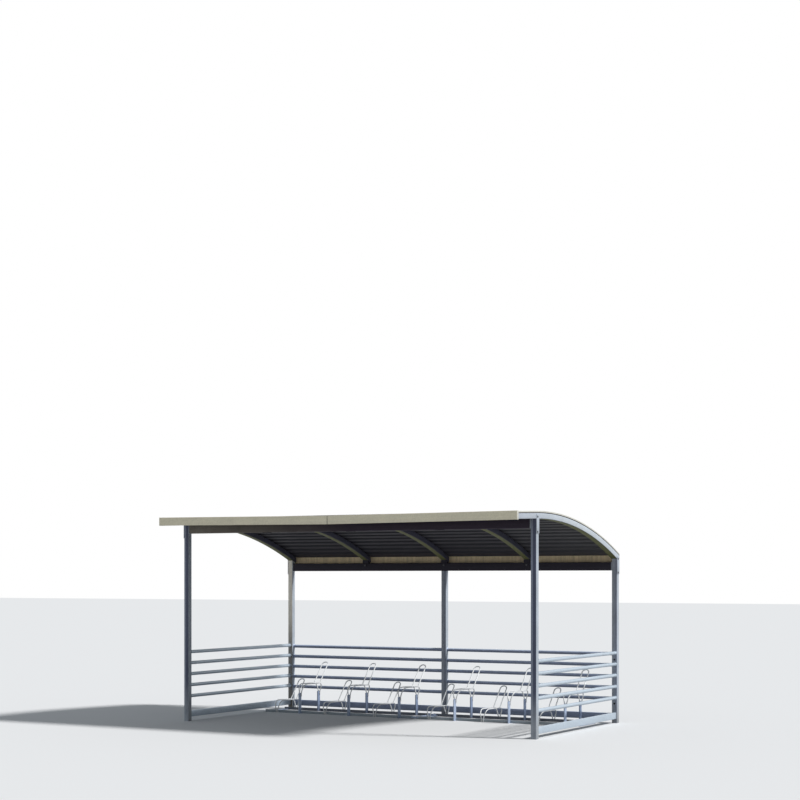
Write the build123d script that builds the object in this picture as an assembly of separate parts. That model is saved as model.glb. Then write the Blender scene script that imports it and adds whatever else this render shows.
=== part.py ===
from build123d import *
import os
from math import asin, cos, floor, hypot, pi, radians, sin, sqrt, tan

# Open bike shelter in galvanised steel: five posts, two beams, five curved arches
# under ribbed sheet, tube panels on three sides, and a rack with holders at two
# heights. Millimetres, +Z up, +X to the right, +Y towards the closed back. The
# origin is on the ground, in the middle of the roof's plan.

os.makedirs("parts", exist_ok=True)

# Frame, over the outer faces of the posts
frame_length = 4200.0
frame_depth = 2120.0
front_overhang = 435.0
rear_overhang = 13.0

# Gap left between pieces that are bolted or laid on each other
seat_gap = 0.3

# Posts
post_side = 60.0
post_wall = 3.0

# Arches: a straight front run, then a tangent arc down to the back
arch_count = 5
arch_width = 70.0
arch_height = 58.0
arch_wall = 3.0
arch_lip = 16.0
arch_radius = 4880.0
arch_front_slope = 2.1
arch_bend_inset = 25.0
arch_bend_height = 2127.0

# Beams
beam_height = 90.0
beam_depth = 50.0
beam_wall = 3.0
beam_end_plate = 8.0
wedge_heel = 14.6

# Plates that hold the end arches to the posts
head_plate_thickness = 10.0
head_plate_drop = 140.0
head_plate_rise = 46.0

# Roof sheet, with ribs along the shelter
sheet_skin = 1.2
rib_height = 16.0
rib_pitch = 118.0
rib_foot = 62.0
rib_crest = 30.0
sheet_seam = 1.0
sheet_edge_gap = 2.0
sheet_end_flat = 40.0

# Edge trims
trim_wall = 1.5
trim_flange = 35.0
fascia_height = 86.0
fascia_lap = 4.0
fascia_sag = 12.0
fascia_left_lift = 6.0
rear_lap = 12.0
verge_flange = 40.0
verge_leg = 14.0

# Side and back panels
rail_diameter = 38.0
rail_wall = 2.6
rail_sides = 16
rail_count = 5
rail_pitch = 120.0
rail_inset = 24.0
side_rail_height = 272.0
back_rail_height = 262.0
back_rail_inset = 20.0
kick_height = 70.0
kick_depth = 30.0
kick_wall = 2.5
kick_below_rail = 157.0

# Rack
rack_start = 52.5
rack_front = 1503.0
rack_depth = 404.0
rack_pairs = 3
holder_pitch = 327.0
module_gap = 40.0
angle_side = 30.0
angle_wall = 3.0
splice_lap = 30.0
splice_height = 24.0
splice_wall = 4.0
tie_width = 60.0
tie_thickness = 5.0
tie_clearance = 6.0
upright_width = 50.0
upright_wall = 10.0
upright_height = 235.0
wire_diameter = 12.0
wire_sides = 8
wire_foot_spread = 22.0
wire_spread = 76.0
wire_weld = 40.0
wire_inset = 12.0
front_bend_radius = 85.0
rear_bend_radius = 50.0
bend_steps = 3
platform_fall = 6.0
high_platform = 330.0
high_hoop_foot = 342.0
high_hoop_top = 565.0
low_platform = 130.0
low_hoop_foot = 347.0
low_hoop_top = 358.0
hoop_reach = 537.0
hoop_steps = 6

# Places that follow from the sizes above
roof_depth = front_overhang + frame_depth + rear_overhang
roof_front = -roof_depth / 2
roof_back = roof_depth / 2
frame_front = roof_front + front_overhang
frame_back = frame_front + frame_depth
frame_left = -frame_length / 2
frame_right = frame_length / 2
slope = radians(arch_front_slope)
bend_y = frame_front + arch_bend_inset
arc_centre_y = bend_y + arch_radius * sin(slope)
arc_centre_z = arch_bend_height - arch_radius * cos(slope)
sheet_offset = arch_height + seat_gap
sheet_top_offset = sheet_offset + rib_height + sheet_skin


def block(x, y, z):
    """A box between two values along each axis."""
    corner = Pos(x[0], y[0], z[0])
    return corner * Box(x[1] - x[0], y[1] - y[0], z[1] - z[0], align=(Align.MIN,) * 3)


def across(points, x_from, x_to):
    """An outline of (y, z) points, carried along X."""
    outline = make_face(Polyline(*points, close=True))
    return extrude(Plane.YZ.offset(x_from) * outline, x_to - x_from, dir=(1, 0, 0))


def export(name, *shapes):
    """Writes one node, with each of its solids."""
    solids = [solid for shape in shapes for solid in shape.solids()]
    export_step(Compound(solids) if len(solids) > 1 else solids[0], f"parts/{name}.step")


# The curve that the arches, the sheet and the trims share
def bend_at(offset):
    """Where a line that far above the arches' underside starts to curve."""
    return bend_y - offset * sin(slope), arch_bend_height + offset * cos(slope)


def curve_height(y, offset=0.0):
    """Height at y of the line that runs offset above the arches' underside."""
    start_y, start_z = bend_at(offset)
    if y <= start_y:
        return start_z + (y - start_y) * tan(slope)
    return arc_centre_z + sqrt((arch_radius + offset) ** 2 - (y - arc_centre_y) ** 2)


def curve_edges(y_from, y_to, offset):
    """The line from y_from to y_to, as edges in the (y, z) plane."""
    start = (y_from, curve_height(y_from, offset))
    end = (y_to, curve_height(y_to, offset))
    bend = bend_at(offset)
    middle_y = (max(bend[0], y_from) + y_to) / 2
    middle = (middle_y, curve_height(middle_y, offset))
    if y_from >= bend[0]:
        return ThreePointArc(start, middle, end), start, end
    return Line(start, bend) + ThreePointArc(bend, middle, end), start, end


def band(x, y, offsets):
    """A curved strip between two offsets, carried along X."""
    low, low_start, low_end = curve_edges(*y, offsets[0])
    high, high_start, high_end = curve_edges(*y, offsets[1])
    outline = make_face(low + Line(low_end, high_end) + high + Line(high_start, low_start))
    return extrude(Plane.YZ.offset(x[0]) * outline, x[1] - x[0], dir=(1, 0, 0))


# Posts, beams and what joins them
def post(x, y, top_front, top_back):
    """A square tube, open at both ends, with its top cut to the arch's slope."""
    outline = [(y, 0), (y + post_side, 0), (y + post_side, top_back), (y, top_front)]
    inner_x = (x + post_wall, x + post_side - post_wall)
    inner_y = (y + post_wall, y + post_side - post_wall)
    bore = block(inner_x, inner_y, (0, max(top_front, top_back)))
    return across(outline, x, x + post_side) - bore


def end_post(x, y):
    """A post that carries an end arch."""
    return post(x, y, curve_height(y) - seat_gap, curve_height(y + post_side) - seat_gap)


def beam(y, top):
    """A box section between the end posts' end plates."""
    x = (frame_left + post_side + beam_end_plate, frame_right - post_side - beam_end_plate)
    outside = block(x, (y, y + beam_depth), (top - beam_height, top))
    inner_y = (y + beam_wall, y + beam_depth - beam_wall)
    inner_z = (top - beam_height + beam_wall, top - beam_wall)
    return outside - block(x, inner_y, inner_z)


def end_plates(y, top):
    """The plates between a beam and its posts."""
    z = (top - beam_height, top)
    starts = (frame_left + post_side, frame_right - post_side - beam_end_plate)
    return [block((x, x + beam_end_plate), (y, y + post_side), z) for x in starts]


def head_plates(y):
    """The plates over both outer faces at one pair of end posts."""
    low = min(curve_height(y), curve_height(y + post_side))
    z = (low - head_plate_drop, low + head_plate_rise)
    starts = (frame_left - head_plate_thickness, frame_right)
    return [block((x, x + head_plate_thickness), (y, y + post_side), z) for x in starts]


back_post_y = frame_back - post_side
beam_inset = (post_side - beam_depth) / 2
front_beam_y = frame_front + beam_inset
back_beam_y = back_post_y + beam_inset
front_beam_top = curve_height(front_beam_y) - seat_gap
back_beam_top = curve_height(back_beam_y + beam_depth) - seat_gap - wedge_heel
back_beam_bottom = back_beam_top - beam_height

export("post_front_left", end_post(frame_left, frame_front))
export("post_front_right", end_post(frame_right - post_side, frame_front))
export("post_back_left", end_post(frame_left, back_post_y))
export("post_back_middle", post(-post_side / 2, back_post_y, back_beam_bottom, back_beam_bottom))
export("post_back_right", end_post(frame_right - post_side, back_post_y))
export("front_beam", beam(front_beam_y, front_beam_top))
export("back_beam", beam(back_beam_y, back_beam_top))
export("beam_end_plates", *end_plates(frame_front, front_beam_top), *end_plates(back_post_y, back_beam_top))
export("post_head_plates", *head_plates(frame_front), *head_plates(back_post_y))


# Arches, and the wedges that seat the inner ones on the back beam
def arch(x):
    """A lipped channel bent to the roof's curve, its mouth to the left."""
    y = (roof_front + trim_wall + seat_gap, roof_back - trim_wall - seat_gap)
    beyond = (y[0] - arch_wall, y[1] + arch_wall)
    outside = band((x, x + arch_width), y, (0, arch_height))
    hollow = band((x + arch_wall, x + arch_width - arch_wall), beyond, (arch_wall, arch_height - arch_wall))
    mouth = band((x, x + arch_wall), beyond, (arch_lip, arch_height - arch_lip))
    return outside - hollow - mouth


def arch_wedge(x):
    """A wedge between the back beam's top and an arch."""
    y = (back_beam_y, back_beam_y + beam_depth)
    top = [(end, curve_height(end) - seat_gap) for end in reversed(y)]
    return across([(y[0], back_beam_top), (y[1], back_beam_top), *top], x, x + arch_width)


arch_pitch = (frame_length - arch_width) / (arch_count - 1)
arch_starts = [frame_left + arch_pitch * number for number in range(arch_count)]
for number, start in enumerate(arch_starts, 1):
    export(f"roof_arch_{number}", arch(start))
export("arch_wedges", *[arch_wedge(start) for start in arch_starts[1:-1]])


# Roof sheet
sheet_front = roof_front + trim_wall + sheet_edge_gap
sheet_back = roof_back - trim_wall - sheet_edge_gap
sheet_radius = arch_radius + sheet_offset
sheet_bend = bend_at(sheet_offset)
sheet_run = hypot(sheet_bend[0] - sheet_front, sheet_bend[1] - curve_height(sheet_front, sheet_offset))
sheet_arc = hypot(sheet_back - sheet_bend[0], curve_height(sheet_back, sheet_offset) - sheet_bend[1])
sheet_depth = sheet_run + 2 * sheet_radius * asin(sheet_arc / (2 * sheet_radius))


def roof_point(distance, rise):
    """A point that far back along the sheet, and rise above its underside."""
    turn = slope - max(distance - sheet_run, 0) / sheet_radius
    along = min(distance - sheet_run, 0)
    reach = sheet_radius + rise
    y = arc_centre_y - reach * sin(turn) + along * cos(slope)
    z = arc_centre_z + reach * cos(turn) + along * sin(slope)
    return y, z


def rib_line():
    """Distance and rise of each corner of the ribbed profile's underside."""
    valley = rib_pitch - rib_foot
    rib_count = floor((sheet_depth - 2 * sheet_end_flat + valley) / rib_pitch)
    first = (sheet_depth - rib_count * rib_pitch + valley) / 2
    flank = (rib_foot - rib_crest) / 2
    corners = [(0, 0)]
    for rib in range(rib_count):
        foot = first + rib * rib_pitch
        corners += [(foot, 0), (foot + flank, rib_height)]
        corners += [(foot + rib_foot - flank, rib_height), (foot + rib_foot, 0)]
    return corners + [(sheet_depth, 0)]


def roof_sheet(x_from, x_to):
    """One length of ribbed sheet."""
    under = [roof_point(distance, rise) for distance, rise in rib_line()]
    over = [roof_point(distance, rise + sheet_skin) for distance, rise in rib_line()]
    return across(under + over[::-1], x_from, x_to)


sheet_inset = trim_wall + seat_gap
export("roof_sheet_left", roof_sheet(frame_left + sheet_inset, -sheet_seam / 2))
export("roof_sheet_right", roof_sheet(sheet_seam / 2, frame_right - sheet_inset))


# Edge trims
def fascia(outer_x, outer_bottom, inner_x, inner_bottom):
    """A folded front trim, straight from its outer end to the seam, with an end return."""
    y, top = roof_front, outer_bottom + fascia_height
    outline = [
        (y, outer_bottom),
        (y + trim_wall, outer_bottom),
        (y + trim_wall, top - trim_wall),
        (y + trim_flange, top - trim_wall),
        (y + trim_flange, top),
        (y, top),
    ]
    face = Plane.YZ.offset(outer_x) * make_face(Polyline(*outline, close=True))
    run = Vector(inner_x - outer_x, 0, inner_bottom - outer_bottom)
    end_x = sorted((outer_x, outer_x - trim_wall if outer_x > inner_x else outer_x + trim_wall))
    end_return = block(end_x, (y, y + trim_flange), (outer_bottom, top))
    trim = extrude(face, run.length, dir=run.normalized())
    return trim + end_return


def rear_flashing(x_from, x_to):
    """A folded rear trim that closes the arches' ends and laps over the sheet."""
    offsets = (sheet_offset + sheet_skin + seat_gap, sheet_offset + sheet_skin + seat_gap + trim_wall)
    bottom = curve_height(roof_back) - rear_lap
    inside = roof_back - trim_wall
    flange = band((x_from, x_to), (roof_back - trim_flange, inside), offsets)
    upright = [
        (inside, bottom),
        (roof_back, bottom),
        (roof_back, curve_height(roof_back, offsets[1])),
        (inside, curve_height(inside, offsets[1])),
    ]
    return flange + across(upright, x_from, x_to)


def verge_trim(outer_x, side):
    """A curved angle over the sheet's end, with a leg down beside it."""
    y = (roof_front + trim_flange + sheet_edge_gap, roof_back)
    top = sheet_top_offset + seat_gap + trim_wall
    flange_x = sorted((outer_x, outer_x - side * verge_flange))
    leg_x = sorted((outer_x, outer_x - side * trim_wall))
    return band(flange_x, y, (top - trim_wall, top)) + band(leg_x, y, (top - verge_leg, top))


fascia_bottom = curve_height(roof_front) - fascia_lap
seam_bottom = fascia_bottom - fascia_sag
seam_x = sheet_seam / 2
fascia_left_x = frame_left - trim_wall - seat_gap
fascia_right_x = frame_right + trim_wall + seat_gap
export("fascia_left", fascia(fascia_left_x, fascia_bottom + fascia_left_lift, -seam_x, seam_bottom))
export("fascia_right", fascia(fascia_right_x, fascia_bottom, seam_x, seam_bottom))
export("rear_flashing_left", rear_flashing(frame_left, -seam_x))
export("rear_flashing_right", rear_flashing(seam_x, frame_right))
export("verge_trim_left", verge_trim(frame_left, -1))
export("verge_trim_right", verge_trim(frame_right, 1))


# Side and back panels
def rail_heights(lowest):
    """Centre heights of a panel's tubes."""
    return [lowest + rail_pitch * number for number in range(rail_count)]


def panel_section(lowest):
    """A panel's section: its tubes above its kick rail."""
    radius = rail_diameter / 2
    ring = RegularPolygon(radius, rail_sides) - RegularPolygon(radius - rail_wall, rail_sides)
    rings = Sketch()
    for height in rail_heights(lowest):
        rings += Pos(0, height) * ring
    hollow = Rectangle(kick_depth - 2 * kick_wall, kick_height - 2 * kick_wall)
    kick = Rectangle(kick_depth, kick_height) - hollow
    return rings + Pos(0, lowest - kick_below_rail - kick_height / 2) * kick


def side_panel(x):
    """Tubes and a kick rail from a front post to a back post."""
    start = Plane((x, frame_front + post_side, 0), x_dir=(-1, 0, 0), z_dir=(0, 1, 0))
    return extrude(start * panel_section(side_rail_height), frame_depth - 2 * post_side, dir=(0, 1, 0))


def back_panel(x_from, x_to):
    """Tubes and a kick rail between two back posts."""
    start = Plane((x_from, frame_back - back_rail_inset, 0), x_dir=(0, 1, 0), z_dir=(1, 0, 0))
    return extrude(start * panel_section(back_rail_height), x_to - x_from, dir=(1, 0, 0))


export("side_panel_left", side_panel(frame_left + rail_inset))
export("side_panel_right", side_panel(frame_right - rail_inset))
export("back_panel_left", back_panel(frame_left + post_side, -post_side / 2))
export("back_panel_right", back_panel(post_side / 2, frame_right - post_side))

# Rack: two modules on angle rails, each with low and high holders in turn
rack_left = frame_left + rack_start
module_length = 2 * rack_pairs * holder_pitch
module_starts = [rack_left, rack_left + module_length + module_gap]
front_angle_y = frame_front + rack_front
rear_angle_y = front_angle_y + rack_depth
rear_web_y = rear_angle_y - angle_wall
wire_radius = wire_diameter / 2
wire_seat = wire_radius + seat_gap


def angle_rail(x_from, web_y, into):
    """An angle lying on the ground, its upright leg outside the rack."""
    web = sorted((web_y, web_y + into * angle_wall))
    foot = sorted((web_y, web_y + into * angle_side))
    x = (x_from, x_from + module_length)
    return block(x, web, (0, angle_side)) + block(x, foot, (0, angle_wall))


def splice(web_y, into):
    """A plate that joins two modules' angles from inside."""
    middle = module_starts[1] - module_gap / 2
    reach = module_gap / 2 + splice_lap
    inside = web_y + into * angle_wall
    y = sorted((inside, inside + into * splice_wall))
    return block((middle - reach, middle + reach), y, (angle_wall, angle_wall + splice_height))


def tie(x):
    """A flat across the rack, lying on the feet of both angles."""
    inset = angle_wall + tie_clearance
    z = angle_wall + seat_gap
    return block((x, x + tie_width), (front_angle_y + inset, rear_angle_y - inset), (z, z + tie_thickness))


def uprights(x):
    """The two flats that carry a high holder, each against the front of a rail's web."""
    sides = (x - upright_wall / 2, x + upright_wall / 2)
    front = block(sides, (front_angle_y - upright_width, front_angle_y), (0, upright_height))
    foot = angle_wall + seat_gap
    return front, block(sides, (rear_web_y - upright_width, rear_web_y), (foot, upright_height))


def rounded(points, radii, steps):
    """The same route, each inner corner cut by chords of an arc; radius 0 keeps the corner."""
    route = [Vector(*points[0])]
    for before, corner, after, radius in zip(points, points[1:], points[2:], radii):
        corner = Vector(*corner)
        if not radius:
            route.append(corner)
            continue
        to_before = (Vector(*before) - corner).normalized()
        to_after = (Vector(*after) - corner).normalized()
        half = radians(to_before.get_angle(to_after)) / 2
        middle = (to_before + to_after).normalized()
        centre = corner + middle * (radius / sin(half))
        sweep_angle = pi - 2 * half
        across_arc = (to_after - to_before).normalized()
        for step in range(steps + 1):
            turn = sweep_angle * (step / steps - 0.5)
            route.append(centre - middle * (radius * cos(turn)) + across_arc * (radius * sin(turn)))
    return route + [Vector(*points[-1])]


def wire(route):
    """A bar of few sides along a route."""
    start = Plane(origin=route[0], z_dir=route[1] - route[0])
    section = start * RegularPolygon(wire_radius, wire_sides)
    return sweep(section, path=Polyline(*route), transition=Transition.RIGHT)


def side_wire(x, side, platform, spread, foot_y, foot_z):
    """One bent wire: up from the front, back along the platform and down behind."""
    low_x = x + side * spread / 2
    high_x = x + side * wire_spread / 2
    points = [
        (low_x, foot_y[0], foot_z[0]),
        (low_x, foot_y[0], foot_z[1]),
        (high_x, foot_y[0], platform + platform_fall),
        (high_x, foot_y[1], platform),
        (low_x, foot_y[1], foot_z[1]),
        (low_x, foot_y[1], foot_z[0]),
    ]
    return wire(rounded(points, (0, front_bend_radius, rear_bend_radius, 0), bend_steps))


def hoop(x, foot, platform, top):
    """A leaning loop with a round top, on the two side wires."""
    y = (front_angle_y + foot, front_angle_y + hoop_reach)
    lean = Vector(0, y[1] - y[0], top - platform).normalized()
    radius = wire_spread / 2
    crown = Vector(x, y[1], top) - lean * radius
    route = [Vector(x - radius, y[0], platform)]
    for step in range(hoop_steps + 1):
        turn = pi * step / hoop_steps
        route.append(crown - Vector(radius * cos(turn), 0, 0) + lean * (radius * sin(turn)))
    return wire(route + [Vector(x + radius, y[0], platform)])


def holder(x, platform, spread, foot_y, foot_z, hoop_foot, hoop_top):
    """A wheel holder: two side wires and a hoop, welded together."""
    left = side_wire(x, -1, platform, spread, foot_y, foot_z)
    right = side_wire(x, 1, platform, spread, foot_y, foot_z)
    return left + right + hoop(x, hoop_foot, platform, hoop_top)


def high_holder(x):
    """A holder on uprights, welded to both sides of each."""
    spread = upright_wall + 2 * wire_seat
    foot_y = (front_angle_y - wire_inset, rear_web_y - wire_inset)
    foot_z = (upright_height - wire_weld, upright_height)
    return holder(x, high_platform, spread, foot_y, foot_z, high_hoop_foot, high_hoop_top)


def low_holder(x):
    """A holder that stands against the outer faces of the angle rails."""
    foot_y = (front_angle_y - wire_seat, rear_angle_y + wire_seat)
    foot_z = (seat_gap, angle_side)
    return holder(x, low_platform, wire_foot_spread, foot_y, foot_z, low_hoop_foot, low_hoop_top)


pair_steps = [holder_pitch * (2 * pair + 0.5) for pair in range(rack_pairs)]
low_places = [start + step for start in module_starts for step in pair_steps]
high_places = [place + holder_pitch for place in low_places]
for number, start in enumerate(module_starts, 1):
    export(f"rack_{number}_front_rail", angle_rail(start, front_angle_y, 1))
    export(f"rack_{number}_rear_rail", angle_rail(start, rear_angle_y, -1))
tie_places = [place for start in module_starts for place in (start, start + module_length - tie_width)]
ties = [tie(place) for place in tie_places]
export("rack_splices", splice(front_angle_y, 1), splice(rear_angle_y, -1), *ties)
export("rack_uprights", *[flat for place in high_places for flat in uprights(place)])
for number, place in enumerate(low_places, 1):
    export(f"low_holder_{number}", low_holder(place))
for number, place in enumerate(high_places, 1):
    export(f"high_holder_{number}", high_holder(place))
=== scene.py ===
import math
from functools import partial

import bmesh
import bpy
from bpy.props import FloatProperty, FloatVectorProperty, IntProperty, PointerProperty
from mathutils import Matrix, Vector


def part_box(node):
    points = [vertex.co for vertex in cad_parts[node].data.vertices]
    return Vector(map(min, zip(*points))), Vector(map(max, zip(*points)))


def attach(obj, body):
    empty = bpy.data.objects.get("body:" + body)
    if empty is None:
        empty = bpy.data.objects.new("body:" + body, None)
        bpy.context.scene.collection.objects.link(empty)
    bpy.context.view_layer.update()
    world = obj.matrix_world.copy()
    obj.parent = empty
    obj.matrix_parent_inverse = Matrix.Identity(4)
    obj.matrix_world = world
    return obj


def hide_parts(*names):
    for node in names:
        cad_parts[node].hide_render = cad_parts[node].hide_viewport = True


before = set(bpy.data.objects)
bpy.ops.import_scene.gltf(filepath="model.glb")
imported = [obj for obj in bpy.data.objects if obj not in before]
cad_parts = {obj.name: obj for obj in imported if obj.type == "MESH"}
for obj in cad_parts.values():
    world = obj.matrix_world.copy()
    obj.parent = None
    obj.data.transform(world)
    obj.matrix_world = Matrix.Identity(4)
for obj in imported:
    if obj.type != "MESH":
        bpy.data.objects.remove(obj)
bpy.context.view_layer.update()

bl_info = {
    "name": "Bike shelter",
    "version": (1, 0, 0),
    "blender": (4, 5, 0),
    "location": "3D View > Sidebar > Shelter",
    "description": "Posts, curved ribbed roof, tube panels and wheel rack of an open bike shelter",
    "category": "Object",
}

# Gap between pieces that lie on each other
SEAT_GAP = 0.0003

# Steps over a fold, a tube's corner, a wire's bend, a hoop and the roof, and metres between the sheet's cuts
FOLD_STEPS = 3
CORNER_STEPS = 4
BEND_STEPS = 9
HOOP_STEPS = 18
ROOF_STEPS = 48
SHEET_STEP = 0.002

# Sides of bolt heads, wire, washers and tubes, and the angle from which an edge is sharp
HEX_SIDES = 6
WIRE_SIDES = 14
ROUND_SIDES = 20
TUBE_SIDES = 32
SHARP_ANGLE = math.radians(32)

# Places that are read from the packed frame
FRAME_LEFT, FRAME_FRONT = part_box("post_front_left")[0].xy
POST_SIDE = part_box("post_front_left")[1].x - FRAME_LEFT
FRAME_RIGHT, FRAME_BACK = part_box("post_back_right")[1].xy
ROOF_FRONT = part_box("fascia_left")[0].y
ROOF_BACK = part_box("rear_flashing_left")[1].y
ARCHES = [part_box(f"roof_arch_{number}") for number in range(1, 6)]
LOW_PLACES = [sum(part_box(f"low_holder_{number}"), Vector()).x / 2 for number in range(1, 7)]
HIGH_PLACES = [sum(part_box(f"high_holder_{number}"), Vector()).x / 2 for number in range(1, 7)]
RACK_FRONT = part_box("rack_1_front_rail")[0].y
RACK_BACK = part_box("rack_1_rear_rail")[1].y
JOINT_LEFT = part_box("rack_1_front_rail")[1].x
JOINT_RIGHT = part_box("rack_2_front_rail")[0].x

# Black discs of painted shade where the back right post has holes: their heights, their crown's height, and
# its share of their radius
HOLE_SHADE_HEIGHTS = (0.21, 0.68)
HOLE_SHADE_CROWN_HEIGHT = 0.0008
HOLE_SHADE_CROWN_SHARE = 0.8

# A head plate's bolts: from its lower end, from its upper end and from its front edge
HEAD_BOLT_LOW = 0.015
HEAD_BOLT_HIGH = 0.024
HEAD_BOLT_INSET = 0.023

# Where the bolts of a plate under the front beam sit, as a share of its half width
SADDLE_BOLTS = 0.68

# Weld beads, as shares of the wire's radius, and as a share of a foot's welded length
BEAD_DEPTH = 0.7
HOOP_BEAD_RISE = 0.8
HOOP_BEAD_REACH = 1.5
FOOT_BEAD_REACH = 0.36

# Colours of the studio
WHITE = (1.0, 1.0, 1.0, 1.0)
SKY_LIGHT = (0.86, 0.93, 1.0, 1.0)
FLOOR_AS_SEEN = (0.9, 0.9, 0.9, 1.0)
FLOOR_AS_LIT = (0.35, 0.35, 0.35, 1.0)

# The camera's sensor in millimetres, and how far it sees in metres
SENSOR_WIDTH = 36.0
VIEW_END = 500.0


# Sizes and colours that a user can change


def length(name, default, description):
    """A size in metres that a user can change."""
    return FloatProperty(name=name, default=default, description=description, unit="LENGTH", precision=4)


def angle(name, degrees, description):
    """An angle that a user can change."""
    return FloatProperty(name=name, default=math.radians(degrees), description=description, subtype="ANGLE")


def strength(name, default, description):
    """A light's strength that a user can change."""
    return FloatProperty(name=name, default=default, description=description, min=0.0)


def colour(name, default, description):
    """A finish's colour."""
    return FloatVectorProperty(name=name, default=default, description=description, subtype="COLOR", size=3,
                               min=0.0, max=1.0)


class ShelterFrameSizes(bpy.types.PropertyGroup):
    """Posts, beams and plates"""

    tube_wall: length("Tube wall", 0.003, "Wall of the posts and the beams")
    tube_bend: length("Tube corner", 0.004, "Inner radius of the posts' and beams' corners")
    plate_edge: length("Plate edge", 0.0008, "How far the edges of flat plates are rounded")
    head_plate: length("Head plate", 0.005, "Thickness of the plates at the post heads")
    head_plate_drop: length("Head plate drop", 0.14, "How far those plates reach down the posts")
    head_plate_rise: length("Head plate rise", 0.046, "How far they reach up the arches")


class ShelterRoofSizes(bpy.types.PropertyGroup):
    """Arches, ribbed sheet and edge trims"""

    front_slope: angle("Front slope", 2.1, "Slope of the roof's straight front run")
    radius: length("Arch radius", 4.88, "Radius of the arches' undersides")
    bend_inset: length("Bend inset", 0.025, "How far behind the frame's front the arc starts")
    bend_height: length("Bend height", 2.127, "Height of the arches' undersides where the arc starts")
    arch_height: length("Arch height", 0.058, "Height of the arches' channel")
    arch_wall: length("Arch wall", 0.003, "Wall of the arches' channel")
    arch_lip: length("Arch lip", 0.016, "Lips of the arches' channel")
    arch_bend: length("Arch corner", 0.003, "Inner radius of the channel's corners")
    rib_height: length("Rib height", 0.016, "Height of the sheet's ribs")
    rib_pitch: length("Rib pitch", 0.118, "Distance from rib to rib")
    rib_foot: length("Rib foot", 0.062, "Width of a rib at its foot")
    rib_crest: length("Rib crest", 0.03, "Width of a rib at its crest")
    skin: length("Sheet skin", 0.0012, "Thickness of the sheet")
    end_flat: length("End flat", 0.04, "Least flat run at the sheet's front and back")
    edge_gap: length("Edge gap", 0.0035, "From the roof's ends to the sheet's ends")
    trim_wall: length("Trim wall", 0.0015, "Thickness of the edge trims")
    trim_bend: length("Trim corner", 0.0012, "Inner radius of the trims' bends")
    trim_flange: length("Trim flange", 0.035, "Width of the front and rear trims' flanges")
    fascia_height: length("Fascia height", 0.086, "Height of the front trim")
    verge_flange: length("Verge flange", 0.04, "Width of the trims along the roof's ends")
    verge_leg: length("Verge leg", 0.014, "Height of those trims' legs")
    rear_lap: length("Rear lap", 0.012, "How far the rear trim hangs below the arches")
    seam_gap: length("Seam gap", 0.006, "Gap between the two lengths of the front trim")


class ShelterPanelSizes(bpy.types.PropertyGroup):
    """Tube panels on three sides"""

    rail_count: IntProperty(name="Tubes", default=5, min=1, description="Tubes in each panel")
    rail_pitch: length("Tube pitch", 0.12, "Distance from tube to tube")
    rail_radius: length("Tube radius", 0.019, "Outer radius of the tubes")
    kick_height: length("Kick rail height", 0.07, "Height of the lowest, flat rail")
    kick_depth: length("Kick rail depth", 0.03, "Depth of the lowest, flat rail")
    kick_wall: length("Kick rail wall", 0.0025, "Wall of the lowest, flat rail")
    kick_bend: length("Kick rail corner", 0.003, "Inner radius of that rail's corners")
    weld_reach: length("Weld reach", 0.004, "Width of the weld at a tube's end")


class ShelterRackSizes(bpy.types.PropertyGroup):
    """Wheel rack"""

    angle_side: length("Angle side", 0.03, "Side of the angle rails")
    angle_wall: length("Angle wall", 0.003, "Wall of the angle rails")
    angle_bend: length("Angle corner", 0.002, "Inner radius of the angle rails' corner")
    splice_lap: length("Splice lap", 0.03, "How far a joint plate reaches along each module")
    splice_height: length("Splice height", 0.024, "Height of a joint plate")
    splice_wall: length("Splice wall", 0.004, "Thickness of a joint plate")
    tie_width: length("Tie width", 0.06, "Width of the flats across the rack")
    tie_thickness: length("Tie thickness", 0.005, "Thickness of those flats")
    tie_clearance: length("Tie clearance", 0.006, "Gap between those flats and the angles' webs")
    upright_width: length("Upright width", 0.05, "Width of the flats that carry the high holders")
    upright_wall: length("Upright wall", 0.01, "Thickness of those flats")
    wire_inset: length("Wire inset", 0.012, "From an upright's rear edge to the wires on it")
    wire_radius: length("Wire radius", 0.006, "Radius of the holders' wire")
    wire_weld: length("Wire weld", 0.04, "Length of wire welded to an upright")
    foot_spread: length("Foot spread", 0.022, "Distance between a holder's two feet")
    wire_spread: length("Wire spread", 0.076, "Distance between a holder's side wires")
    front_bend: length("Front bend", 0.085, "Radius of the side wires' front bends")
    rear_bend: length("Rear bend", 0.05, "Radius of the side wires' rear bends")
    foot_bend: length("Foot bend", 0.012, "Radius of the side wires' bends at their feet")
    platform_fall: length("Platform fall", 0.006, "How far the side wires fall from front to back")
    high_platform: length("High platform", 0.33, "Height of the high holders' side wires")
    high_hoop_foot: length("High hoop foot", 0.342, "Where a high holder's hoop starts")
    high_hoop_top: length("High hoop top", 0.565, "Height of a high holder's hoop")
    low_platform: length("Low platform", 0.13, "Height of the low holders' side wires")
    low_hoop_foot: length("Low hoop foot", 0.347, "Where a low holder's hoop starts")
    low_hoop_top: length("Low hoop top", 0.358, "Height of a low holder's hoop")
    hoop_reach: length("Hoop reach", 0.537, "How far back the hoops' tops lie")


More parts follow.
